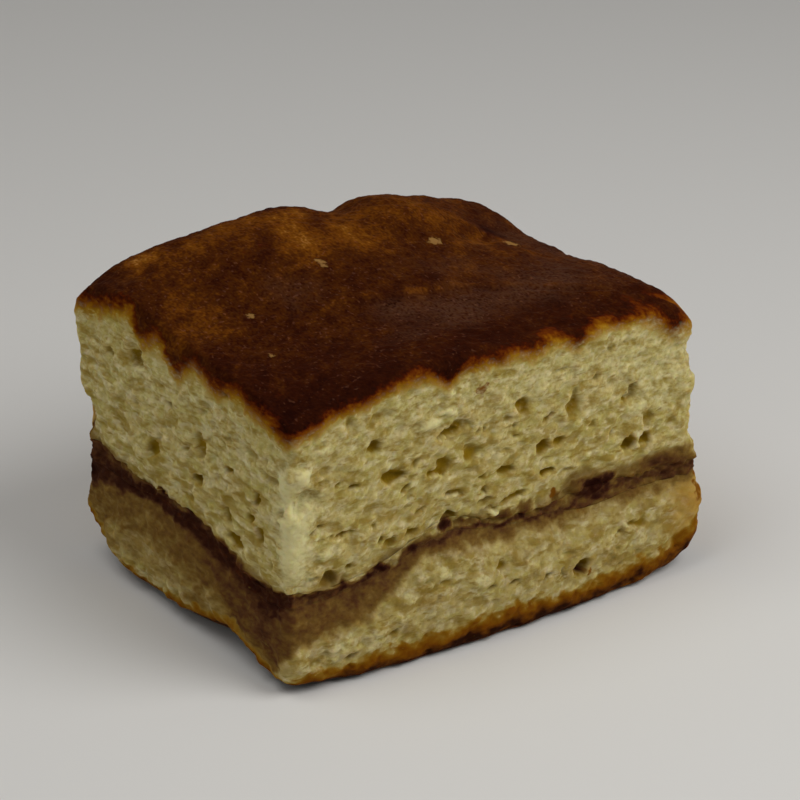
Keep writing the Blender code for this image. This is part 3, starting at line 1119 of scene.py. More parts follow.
@dataclass
class UpperLayer(Layer):
    """The thick upper layer: open yellow crumb under a dark brown baked top."""

    name: str = "upper_crumb_and_crust"
    node: str = "upper_cake_layer"
    slot: str = "upper_crumb"
    seam: Seam = Seam()
    relief: CrumbRelief = CrumbRelief()
    # How much the margins along the cut faces are paler, counted as a drop, and how far in they reach
    wide_margin: Profile = Profile(
        (-36.0, -1.0, 2.0, 13.0, 17.0, 20.0, 24.0, 36.0), (0.8, 0.8, 2.4, 2.5, 3.0, 0.9, 0.9, 1.2)
    )
    wide_reach: Profile = Profile((-36.0, 0.0, 4.0, 17.0, 20.0, 36.0), (1.8, 2.0, 4.0, 5.0, 2.0, 2.0))
    margin_swells: tuple[Swell, ...] = swells((27.5, -26.5, 3.5, 5.0, 3.8), (34.0, -26.5, 2.6, 5.0, 4.0))
    narrow_margin: float = 0.8
    narrow_reach: float = 1.8
    drip_reach: float = 5.0
    # The crust's height over a cut face is taken this far inside, where the crags don't reach
    inset: float = 2.2
    rim_drop: float = 0.3
    # Drops below the crust over which the browned mark falls by 1
    wide_span: Profile = Profile(
        (-36.0, -1.0, 3.0, 17.0, 20.0, 24.0, 27.0, 36.0), (5.6, 5.6, 7.4, 7.4, 5.6, 5.6, 8.0, 8.0)
    )
    narrow_span: float = 7.4
    baked_span: float = 9.0
    # The browned mark at the crust's own height, and clouds that make its line uneven
    crust_mark: float = 0.8
    browning_clouds: tuple[Grain, ...] = grains((0.7, 3.2, 71), (0.3, 1.6, 72))
    # From these browned marks on the crumb's holes close, its lumps end and the crust's own relief begins
    closing_mark: float = 0.4
    lumps_end: float = 0.55
    crust_start: float = 0.5
    mark_width: float = 0.25
    # How much of the crumb's relief the browning closes, and how much is left on the baked sides
    closed_share: float = 0.85
    side_roughness: float = 0.3
    # The depth of a hollow whose painted shade mark is 1
    hollow_depth: float = 1.1
    torn_seed: int = 91
    # The torn lip over the ribbon: how far it stands out, how high it reaches, and how ragged it is
    lip_height: float = 0.55
    lip_reach: float = 1.6
    lip_middle: float = 0.3
    lip_clouds: tuple[Grain, ...] = grains((1.0, 2.4, 97), (0.7, 1.1, 98))
    # The lowest crumb of the layer is damp, up to this height over the ribbon
    damp_reach: float = 0.8
    damp_strength: float = 0.4
    # Lines in the plan along which the dough folded over, in front of the dome
    fold: Profile = Profile(
        (-36.0, -18.4, -10.4, -1.0, 7.2, 13.5, 23.6, 36.0), (-4.0, -5.0, -3.2, -5.9, -6.7, -9.1, -17.1, -26.0)
    )
    second_fold: Profile = Profile((-2.0, 7.1, 14.5, 22.8, 30.0), (-9.0, -10.5, -12.5, -19.1, -23.0))
    fold_clouds: tuple[Grain, ...] = grains((0.5, 4.0, 86))
    # The first fold's step and ridge, the second one's ridge, and how far each spreads
    fold_step: float = 0.2
    step_width: float = 0.8
    fold_ridge: float = 0.25
    ridge_width: float = 0.7
    second_ridge: float = 0.18
    second_width: float = 0.6
    # How much lighter the crust is along the folds, and how much darker in front of them
    fold_streak: float = 0.22
    second_streak: float = 0.2
    second_streak_width: float = 0.5
    streak_cloud_size: float = 3.0
    streak_seed: int = 87
    front_shade: float = 0.07
    # The crust's wrinkles, and its grains: how far they rise, how wide they are, and their draw
    wrinkles: tuple[Grain, ...] = grains((0.12, 3.4, 81), (0.12, 1.7, 82), (0.10, 0.8, 83))
    crust_grain: Grain = Grain(0.22, 1.25, 85)
    grain_wobble: Wobble = Wobble(1.2, 0.3, 84)
    trims: tuple[Push, ...] = pushes(
        (-28.5, 25.5, 43.5, 5.5, 6.0, 6.0, 0.75), (-21.0, 26.0, 45.0, 4.5, 6.0, 6.0, 0.45),
        (2.6, 24.5, 45.5, 3.6, 6.0, 6.0, 0.6), (7.8, 25.5, 45.0, 2.8, 6.0, 6.0, -1.1),
        (31.0, 25.0, 42.4, 5.0, 5.0, 6.0, -0.8), (32.0, 0.0, 41.5, 6.0, 6.5, 6.0, -1.3),
        (33.8, -22.5, 40.5, 4.0, 4.5, 5.0, 0.8), (35.0, -27.2, 34.2, 3.0, 3.0, 1.2, -0.9),
        (35.0, -27.2, 28.6, 3.0, 3.0, 2.2, 0.5), (35.0, -27.2, 17.5, 3.5, 3.5, 2.4, 1.0),
        (-35.5, -27.6, 32.6, 2.2, 2.2, 1.5, 0.8), (-35.5, -27.6, 28.9, 1.8, 1.8, 1.0, -0.9),
        (-35.5, -27.6, 26.0, 1.8, 2.6, 1.2, 0.5), (-35.5, -27.6, 36.0, 2.0, 2.0, 1.2, -0.3),
        (-33.0, -28.0, 22.0, 2.6, 2.0, 1.6, 0.4), (-35.5, 27.0, 34.0, 3.0, 3.0, 3.0, -0.2),
        (-35.3, 26.8, 23.2, 3.2, 3.2, 2.6, -1.3),
    )
    # Places along each face where the browning runs down further or, below zero, less far
    wide_drips: tuple[Drip, ...] = drips(
        (-28.8, 2.5, -0.7), (-17.0, 3.0, -0.6), (-9.0, 2.0, 2.2),
        (-4.0, 2.0, 0.6), (5.1, 3.0, 0.8), (9.5, 2.0, -0.9),
        (13.6, 1.8, 1.4), (16.6, 1.6, 0.9), (19.0, 3.0, -1.0),
        (25.0, 2.0, 0.4), (29.5, 4.0, 3.4), (34.5, 2.6, 1.6),
    )
    narrow_drips: tuple[Drip, ...] = drips(
        (20.9, 2.6, 0.2),
        (13.4, 1.7, -1.8),
        (10.4, 2.6, 2.4),
        (0.8, 2.4, 3.0),
        (-8.3, 2.4, 1.0),
        (-15.4, 2.0, -1.0),
        (-21.8, 4.0, -0.8),
    )
    # Air holes and cracks that can be told apart in each face
    wide_dents: tuple[Dent, ...] = dents(
        (-20.0, 38.4, 2.1, 1.0, 0.6), (-25.5, 38.6, 1.0, 1.1, 0.7), (-21.9, 33.9, 1.3, 1.1, 1.2),
        (-18.2, 28.7, 2.1, 1.1, 1.5), (-14.5, 34.9, 1.2, 1.1, 0.5), (-27.3, 29.9, 0.8, 0.4, 0.9),
        (-25.1, 28.9, 1.1, 0.4, 0.9), (-30.1, 30.9, 1.1, 0.5, 0.6), (-30.4, 32.2, 4.0, 0.8, 0.4),
        (-16.2, 26.4, 1.1, 0.4, 0.8), (-14.6, 29.9, 1.2, 0.4, 0.7, 0.4), (-9.3, 33.0, 2.0, 0.6, 1.9),
        (-7.0, 33.7, 1.7, 1.1, 0.9), (-3.9, 32.0, 0.5, 0.5, 1.1), (-2.6, 31.9, 0.5, 0.4, 1.0),
        (3.8, 33.6, 1.2, 1.3, 1.2), (1.1, 32.4, 0.8, 0.8, 0.6), (8.1, 30.4, 1.1, 0.4, 0.8, 0.5),
        (7.4, 25.9, 1.3, 1.2, 1.4), (10.2, 26.5, 1.3, 0.6, 1.0), (-5.3, 28.7, 1.8, 1.5, 0.9),
        (-10.2, 28.2, 1.3, 1.2, 0.9), (-11.1, 27.2, 1.5, 0.5, 1.4), (0.7, 24.7, 1.5, 0.7, 1.0),
        (8.4, 22.4, 1.4, 0.5, 1.4), (2.5, 30.7, 0.5, 0.4, 0.8), (3.1, 29.1, 0.7, 0.3, 0.7),
        (-3.1, 24.5, 0.6, 0.4, 0.8), (12.8, 31.5, 1.3, 2.0, 1.1), (22.7, 29.9, 1.7, 0.6, 1.3),
        (23.6, 30.9, 0.7, 0.9, 1.1), (16.7, 34.4, 0.8, 0.5, 0.8), (19.0, 38.3, 0.5, 0.5, 0.6),
        (21.9, 38.7, 0.4, 0.4, 0.7), (26.4, 25.7, 1.3, 1.6, 0.8), (26.0, 22.6, 1.2, 1.2, 1.5),
        (23.0, 22.4, 1.3, 1.3, 1.8), (16.3, 27.6, 0.6, 0.5, 0.7), (19.5, 25.2, 0.6, 0.5, 0.7),
        (30.5, 24.0, 0.9, 0.8, 0.5), (10.7, 37.2, 0.9, 0.3, 0.6), (-32.9, 29.5, 2.3, 1.1, 0.9),
        (-34.4, 28.1, 1.6, 1.1, 0.9), (-30.5, 24.2, 0.5, 0.5, 0.8), (-26.8, 22.4, 2.3, 0.4, 1.0, -0.15),
        (-32.1, 23.7, 0.6, 0.4, 0.8), (-20.7, 19.6, 0.6, 0.4, 1.0), (-19.2, 19.1, 1.1, 0.9, 0.8),
        (-15.5, 19.3, 1.3, 0.8, 1.2), (-14.1, 22.4, 0.9, 0.5, 0.8), (-16.2, 23.4, 0.8, 0.5, 0.5),
        (-22.7, 24.2, 1.0, 0.9, 0.4), (-21.5, 22.1, 0.7, 0.6, 0.7), (-29.0, 15.8, 1.6, 1.1, 1.3),
        (-25.6, 16.6, 0.8, 0.5, 1.0), (-32.0, 17.0, 0.8, 0.4, 1.0), (-8.7, 19.2, 1.3, 1.1, 1.7),
        (-8.2, 23.2, 1.6, 0.4, 0.8), (-2.9, 22.3, 0.7, 0.4, 0.8), (-2.9, 20.5, 1.0, 0.4, 0.9),
        (-0.8, 18.9, 1.3, 0.4, 1.1), (2.2, 19.9, 2.5, 0.4, 1.0, 0.1),
    )
    narrow_dents: tuple[Dent, ...] = dents(
        (12.0, 36.4, 2.2, 1.5, 1.5), (18.6, 35.2, 1.2, 1.0, 0.8), (3.1, 32.3, 1.3, 0.7, 0.7),
        (12.2, 29.8, 0.7, 0.5, 0.5), (-4.9, 29.3, 1.6, 1.9, 1.2), (-11.5, 39.2, 1.2, 0.7, 0.8),
        (-4.0, 24.1, 1.4, 0.8, 1.4), (-12.5, 28.4, 1.3, 0.5, 1.0), (-17.9, 33.2, 2.5, 0.9, 0.6),
        (-22.6, 31.1, 2.5, 1.0, 0.6), (-22.0, 33.5, 0.6, 0.4, 0.6), (-2.4, 20.6, 0.9, 0.6, 0.6),
        (-19.3, 26.6, 1.1, 1.0, 1.2), (-11.9, 21.1, 1.4, 1.5, 1.0), (-17.7, 23.4, 1.6, 0.6, 1.1),
        (-20.1, 21.5, 1.2, 1.2, 0.9), (-13.8, 18.1, 2.4, 1.1, 1.4), (-25.4, 27.0, 1.0, 0.8, 1.0),
        (-24.8, 25.1, 0.8, 0.6, 0.7), (-23.0, 18.4, 0.8, 0.6, 0.5), (7.4, 24.3, 1.3, 1.3, 1.0),
        (13.5, 20.6, 0.9, 0.8, 0.5), (-0.9, 27.1, 1.5, 0.5, 0.6), (16.4, 17.5, 1.3, 0.8, 0.9),
        (5.7, 17.8, 0.9, 0.7, 1.5), (3.3, 16.0, 0.6, 0.6, 1.0), (-0.2, 16.5, 1.0, 0.5, 0.9),
        (27.5, 22.9, 3.0, 2.4, 2.8),
    )
    # Places in the plan where the crust is lighter (amber) or, below zero, darker; the darker ones at the
    # back-left edge are painted shade where the crust turns away
    tone_swells: tuple[Swell, ...] = swells(
        (-6.3, 15.5, 3.5, 4.5, 0.26), (-9.4, 23.0, 4.5, 3.0, 0.26), (0.0, 27.5, 9.0, 3.0, -0.25),
        (-7.0, 11.0, 5.0, 2.6, 0.22), (2.0, 11.0, 2.8, 5.0, 0.34), (18.8, 10.6, 6.0, 4.0, 0.16),
        (16.7, 12.5, 5.0, 3.0, 0.12), (19.0, 4.3, 5.0, 1.8, 0.18), (-27.2, 23.0, 2.6, 3.0, 0.36),
        (-15.6, 21.1, 7.0, 4.0, 0.14), (-30.0, 3.0, 5.0, 7.0, 0.12), (26.7, 10.9, 2.6, 2.6, -0.6),
        (-31.0, -24.0, 10.0, 8.0, -0.16), (-36.0, 22.0, 5.0, 8.0, -0.2), (-22.0, 27.0, 12.0, 4.0, -0.12),
        (-10.0, 1.0, 5.0, 3.0, -0.10), (-17.0, -2.0, 4.0, 3.0, -0.06), (33.0, 5.0, 5.0, 14.0, -0.08),
        (26.0, -2.0, 8.0, 3.0, 0.06),
    )
    tone_middle: float = 0.42
    tone_limit: float = 0.88
    # How much darker the crust is where it turns down to the baked sides
    rim_shade: float = 0.25
    # The crust's patches, which are this much shorter across than along the way the dough ran
    patches: tuple[Grain, ...] = grains((0.11, 3.4, 88), (0.10, 1.7, 89), (0.09, 0.9, 90))
    run: float = 0.6
    run_way: tuple[float, float] = (0.58, 0.82)
    # How much lighter the crust gets with each millimetre towards the back
    tone_slope: float = 0.0045
    # Places in the plan with a painted greyish sheen, where the crust would catch the light
    painted_sheen_swells: tuple[Swell, ...] = swells(
        (-3.4, -9.0, 8.0, 4.0, 0.5), (5.6, -13.9, 9.0, 4.5, 0.6), (20.0, -12.0, 10.0, 8.0, 0.6),
        (-15.6, 2.0, 5.0, 5.0, 0.5), (-6.1, -17.0, 8.0, 3.0, 0.4), (33.0, 2.0, 7.0, 18.0, 0.6),
        (10.0, 0.0, 12.0, 6.0, 0.35), (-33.0, 22.0, 5.0, 7.0, 0.3),
    )
    # Beige specks on the crust
    speck_swells: tuple[Swell, ...] = swells(
        (12.4, 5.6, 1.4, 1.0, 1.0),
        (25.6, 4.2, 0.9, 1.6, 1.2),
        (-23.0, 0.4, 1.0, 1.0, 0.7),
        (-7.3, 5.8, 1.0, 1.6, 0.8),
        (-26.9, -10.7, 0.9, 0.9, 0.5),
    )
    # Flakes of crumb that stand out of the wide face
    wide_flakes: tuple[Dent, ...] = dents(
        (-29.7, 20.0, 1.6, 0.7, 0.7), (-32.1, 16.9, 0.7, 0.8, 0.6), (-1.0, 18.3, 1.1, 0.6, 0.9),
        (-6.8, 18.2, 1.2, 0.9, 0.7), (-9.5, 36.2, 1.6, 0.6, 0.6), (-12.5, 34.8, 2.6, 0.8, 0.5),
        (-8.7, 38.6, 1.2, 0.4, 0.5), (-29.5, 36.0, 2.0, 0.9, 0.4), (-33.6, 32.8, 1.4, 1.6, 0.7),
        (12.5, 22.0, 1.6, 0.5, 0.5), (24.5, 28.0, 2.0, 1.2, 0.4), (-23.6, 21.0, 1.6, 0.8, 0.5),
    )
    # Creamier crumb along the front corner and high on both faces, partly real and partly painted light: the
    # broad bands high up and the front corner are lighter where more light falls
    wide_cream_and_light: tuple[Swell, ...] = swells(
        (-35.5, 23.0, 4.0, 9.0, 1.0),
        (-31.5, 27.6, 3.0, 2.0, 0.3),
        (5.0, 37.0, 60.0, 8.0, 0.4),
        (30.0, 28.0, 12.0, 9.0, 0.3),
    )
    narrow_cream_and_light: tuple[Swell, ...] = swells(
        (-27.5, 23.0, 3.0, 9.0, 1.0),
        (-25.8, 31.4, 1.2, 2.0, 0.7),
        (0.0, 34.0, 60.0, 10.0, 0.38),
    )
    # Damp, greyish crumb on the wide face and on the narrow face, most of it close above the ribbon
    wide_damp: tuple[Swell, ...] = swells(
        (-18.0, 16.4, 4.0, 1.5, 0.7), (-28.5, 15.6, 3.0, 1.3, 0.9), (14.5, 18.8, 3.4, 2.0, 1.5),
        (22.5, 18.4, 4.0, 1.2, 1.0), (31.0, 18.6, 5.0, 1.6, 1.1), (-4.0, 18.6, 4.0, 0.9, 0.6),
        (9.0, 17.6, 5.0, 1.2, 0.5), (-12.0, 23.5, 30.0, 4.5, 0.3),
    )
    narrow_damp: tuple[Swell, ...] = swells(
        (-17.0, 14.2, 3.4, 2.2, 0.9),
        (-20.5, 13.4, 3.4, 1.8, 1.0),
        (-25.0, 14.6, 3.0, 1.0, 0.5),
        (5.0, 17.6, 4.0, 1.2, 0.5),
        (21.0, 18.2, 6.0, 1.8, 0.9),
        (26.8, 20.5, 2.5, 2.5, 0.9),
    )
    # Rust-coloured specks and streaks on the wide face
    wide_rust: tuple[Swell, ...] = swells(
        (-3.7, 37.7, 0.9, 1.1, 1.0), (-2.7, 38.3, 0.7, 0.5, 0.7), (9.6, 17.9, 0.6, 1.6, 0.9),
        (-24.9, 40.2, 0.6, 0.5, 0.9), (29.0, 38.0, 0.8, 0.4, 0.5), (33.6, 38.6, 0.6, 0.7, 0.9),
        (35.5, 32.2, 1.2, 1.0, 0.9), (35.6, 30.6, 0.8, 0.8, 0.7),
    )

    def top(self, x: Array, y: Array) -> Array:
        """The baked crust."""
        return self.form.crust_height(x, y)

    def underside(self, x: Array, y: Array) -> Array:
        """The face that lies on the ribbon."""
        return self.form.upper_underside(x, y)

    def wall_height(self) -> float:
        """From the ribbon to the rim."""
        return self.form.rim_height - self.form.ribbon_level

    def browning(self, skin: Skin) -> Array:
        """How far each point is browned from above: 0.75 or more on the crust, 0.2 and less on clean crumb.

        It falls evenly with the drop below the crust, starts lower where a drip reaches down, and starts already
        on the crust along the margins of the cut. Small clouds make the line uneven.

        Args:
            skin: the layer's surface.

        Returns:
            One mark from 0 to 1 for each point.
        """
        x, y, z = skin.points.T
        from_wide = np.maximum(y + self.form.depth / 2, 0.0)
        from_narrow = np.maximum(x + self.form.width / 2, 0.0)
        wide = dripped(self.wide_drips, x) * np.exp(-from_wide / self.drip_reach)
        narrow = dripped(self.narrow_drips, y) * np.exp(-from_narrow / self.drip_reach)
        half_x, half_y = self.form.width / 2 - self.inset, self.form.depth / 2 - self.inset
        rim = self.form.crust_height(np.clip(x, -half_x, half_x), np.clip(y, -half_y, half_y))
        baked = np.minimum(rim, self.form.crust_height(x, y))
        cut = cut_share(skin)
        drop = baked + (rim - self.rim_drop - baked) * cut - z - on_faces(skin, wide, narrow)
        drop += self.wide_margin.at(x) * np.exp(-from_wide / self.wide_reach.at(x))
        drop += self.narrow_margin * np.exp(-from_narrow / self.narrow_reach)
        drop += swelled(self.margin_swells, x, y)
        drop += grained(self.browning_clouds, skin.points)
        span = on_faces(skin, self.wide_span.at(x), np.full_like(x, self.narrow_span))
        return np.clip(self.crust_mark - drop / (self.baked_span * (1.0 - cut) + span), 0.0, 1.0)

    def folds(self, x: Array, y: Array) -> tuple[Array, Array]:
        """How far each place lies behind the first and behind the second fold of the crust."""
        return y - self.fold.at(x), y - self.second_fold.at(x)

    def crust_relief(self, points: Array) -> Array:
        """Wrinkles and grain of the crust, and the two low folds that cross it in front of the dome.

        Args:
            points: places in millimetres, three in each row.

        Returns:
            The rise in millimetres at each point.
        """
        x, y = points[:, 0], points[:, 1]
        first, second = self.folds(x, y + grained(self.fold_clouds, points))
        kept = rising(x, -24.0, 14.0) * falling(x, 30.0, 8.0)
        fold = self.fold_step * np.tanh(first / self.step_width) + self.fold_ridge * bell(first, self.ridge_width)
        also = self.second_ridge * rising(x, 2.0, 6.0) * bell(second, self.second_width)
        wrinkles = grained(self.wrinkles, points)
        grain = self.crust_grain
        pebble, _ = pebbles(warped((self.grain_wobble,), points), grain.size, grain.seed)
        return (fold + also) * kept + wrinkles + grain.height * (pebble - LEVEL_PEBBLE)

    def crust_tone(self, points: Array) -> Array:
        """Lightness of the crust: darker to the front, with patches, and amber along the folds.

        Args:
            points: places in millimetres, three in each row.

        Returns:
            One tone for each point, about 0.1 in the dark and 0.8 on the folds.
        """
        x, y = points[:, 0], points[:, 1]
        first, second = self.folds(x, y)
        kept = rising(x, -20.0, 10.0) * falling(x, 28.0, 8.0)
        streak = self.fold_streak * bell(first, self.ridge_width) * kept
        streak += self.second_streak * bell(second, self.second_streak_width) * rising(x, 6.0, 4.0) * kept
        streak *= 0.5 + 0.8 * np.clip(cloud(points, self.streak_cloud_size, self.streak_seed), -0.5, 1.0)
        front = -self.front_shade * kept * falling(first, 0.0, 1.5)
        run_x, run_y = self.run_way
        across, along = run_y * x - run_x * y, self.run * (run_x * x + run_y * y)
        patches = grained(self.patches, np.stack([across, along, points[:, 2]], axis=1))
        middle = self.tone_middle + self.tone_slope * y + swelled(self.tone_swells, x, y)
        return middle + streak + front + patches

    def ways(self, skin: Skin, level: Array) -> Array:
        """The way in which the trims move each point: square to the surface, but never down in the upper half.

        Args:
            skin: the layer's surface.
            level: from 0 at the layer's underside to 1 at its top.

        Returns:
            One unit vector for each point.
        """
        ways = skin.normals()
        ways[:, 2] = np.where(level > 0.5, np.maximum(ways[:, 2], 0.0), ways[:, 2])
        return ways / np.maximum(np.linalg.norm(ways, axis=1), TINY)[:, None]

    def dress(self, skin: Skin, level: Array) -> None:
        """Opens the air holes, roughens the crumb and the crust, and marks browning, painted shade in the hollows
        and creases, damp and tone.

        On the cut faces, below the browned edge, the surface rises by the crumb's lumps less the depth of its
        holes. Flakes and the torn lip over the ribbon stand out of that. Where it is browned and looks up, it
        rises by the crust's own relief. The end that lies on the ribbon stays as it is moulded.

        Args:
            skin: the moulded surface, whose points are moved and whose marks are set.
            level: from 0 at the layer's underside to 1 at its top.
        """
        browned = self.browning(skin)
        self.trim(skin, level)
        points, normals = skin.points, skin.normals()
        x, y, z = points.T
        upright = 1.0 - np.clip(normals[:, 2], 0.0, 1.0)
        side = rising(upright, 0.3, 0.4)
        faces = cut_share(skin)
        cut = faces * np.maximum(side, falling(browned, self.lumps_end, 0.2))
        baked_side = (1.0 - faces) * side
        turned = (1.0 - faces) * rising(upright, 0.0, 0.5)
        ragged = torn(points, self.torn_seed)
        along_x, along_y, height = ragged.T
        wide_holes = dented(self.wide_dents, along_x, height)
        narrow_holes = dented(self.narrow_dents, along_y, height)
        crumbly = cut * (1.0 - self.closed_share * rising(browned, self.closing_mark, self.mark_width))
        lumps, crease = self.relief.lumps(points)
        depth = np.maximum(self.relief.holes(ragged), on_faces(skin, wide_holes, narrow_holes)) * crumbly
        flakes = on_faces(skin, dented(self.wide_flakes, along_x, height), np.zeros_like(x)) * side
        rise = lumps * (crumbly + self.side_roughness * baked_side) - depth + flakes
        rise += self.crust_relief(points) * rising(browned, self.crust_start, self.mark_width) * (1.0 - upright)
        above = z - self.form.upper_underside(x, y)
        lip = self.lip_middle + grained(self.lip_clouds, points)
        rise += self.lip_height * bell(above, self.lip_reach) * lip * cut
        hidden = falling(level, 0.02, 0.02)
        skin.points = points + normals * (rise * (1.0 - hidden))[:, None]
        # creamier crumb, with painted light high on the faces and at the front corner
        cream_and_light = on_faces(skin, swelled(self.wide_cream_and_light, x, z), swelled(self.narrow_cream_and_light, y, z)) * crumbly
        damp = on_faces(skin, swelled(self.wide_damp, x, z), swelled(self.narrow_damp, y, z))
        damp += self.damp_strength * bell(above, self.damp_reach) * side
        skin.marks = {
            "browned": browned,
            # painted shade, darker in deeper holes
            "hollow": depth / self.hollow_depth,
            # where the creases get painted shade
            "crease": crease * crumbly,
            "damp": damp,
            "rust": on_faces(skin, swelled(self.wide_rust, x, z), np.zeros_like(x)) * side,
            "baked": baked_side,
            "tone": np.minimum(self.crust_tone(points), self.tone_limit) - self.rim_shade * turned,
            # painted greyish sheen on the crust
            "painted_sheen": swelled(self.painted_sheen_swells, x, y),
            # the pale mark holds flakes and the creamier crumb with its painted light
            "pale": flakes + cream_and_light,
            "speck": swelled(self.speck_swells, x, y) * (1.0 - side),
            "stain": self.seam.stain(skin) * side,
            "crumbly": crumbly,
        }


@dataclass
class CinnamonRibbon(Layer):
    """The cinnamon filling between the layers, baked to a dark, moist ribbon with thicker clots."""

    name: str = "cinnamon_filling"
    node: str = "cinnamon_ribbon"
    slot: str = "cinnamon_filling"
    seam: Seam = Seam()
    level_pitch: float = 0.2
    top_radius: float = 0.0
    foot_radius: float = 0.0
    fine_cap: Cap = Cap.NEITHER
    # How dark it is at least, along the wide face, on the narrow face and on the baked sides
    wide_least: Profile = Profile((-36.0, -28.0, -24.0, 2.0, 7.0, 36.0), (0.58, 0.45, 0.2, 0.22, 0.6, 0.6))
    narrow_least: float = 0.7
    baked_least: float = 0.85
    least_clouds: tuple[Grain, ...] = grains((0.16, 1.6, 107))
    trims: tuple[Push, ...] = pushes((35.0, -27.2, 16.5, 3.5, 3.5, 4.0, 0.9))
    # Its lumps: how far they rise, how wide they are, and their draw
    lump: Grain = Grain(0.6, 1.0, 104)
    lump_wobble: Wobble = Wobble(1.0, 0.3, 101)
    # Clots swell out where the stain is past this
    clot_stain: float = 0.6
    clot_height: float = 0.45
    # It is dressed past this share of the cake's width and depth from the middle
    edge_share: float = 0.46
    moisture: float = 0.5
    # How many times thicker than elsewhere it is where it is thickest
    thickest: float = 2.2

    def top(self, x: Array, y: Array) -> Array:
        """The ribbon's upper face."""
        return self.form.ribbon_top(x, y)

    def underside(self, x: Array, y: Array) -> Array:
        """The ribbon's lower face."""
        return self.form.ribbon_underside(x, y)

    def wall_height(self) -> float:
        """The ribbon's thickness where it is thickest."""
        return self.thickest * self.form.ribbon_thickness

    def dress(self, skin: Skin, level: Array) -> None:
        """Swells the lumps and clots out of the seam and marks how dark the filling is.

        Args:
            skin: the moulded surface, whose points are moved and whose marks are set.
            level: from 0 at the layer's underside to 1 at its top.
        """
        self.trim(skin, level)
        points, normals = skin.points, skin.normals()
        x, y, _ = points.T
        stain = self.seam.stain(skin)
        cut = cut_share(skin)
        least = on_faces(skin, self.wide_least.at(x), np.full_like(x, self.narrow_least))
        least += self.baked_least * (1.0 - cut) + grained(self.least_clouds, points)
        lumps, crease = pebbles(warped((self.lump_wobble,), points), self.lump.size, self.lump.seed)
        side = rising(1.0 - np.abs(normals[:, 2]), 0.2, 0.4)
        edge = (np.abs(x) > self.edge_share * self.form.width) | (np.abs(y) > self.edge_share * self.form.depth)
        clots = self.clot_height * np.clip(stain - self.clot_stain, 0.0, 1.0 - self.clot_stain)
        rise = (self.lump.height * (lumps - LEVEL_PEBBLE) + clots) * edge * side
        skin.points = points + normals * rise[:, None]
        skin.marks = {
            "stain": np.maximum(stain, least),
            "crumbly": cut * side,
            # where the creases get painted shade
            "crease": crease,
            "damp": self.moisture * cut,
        }


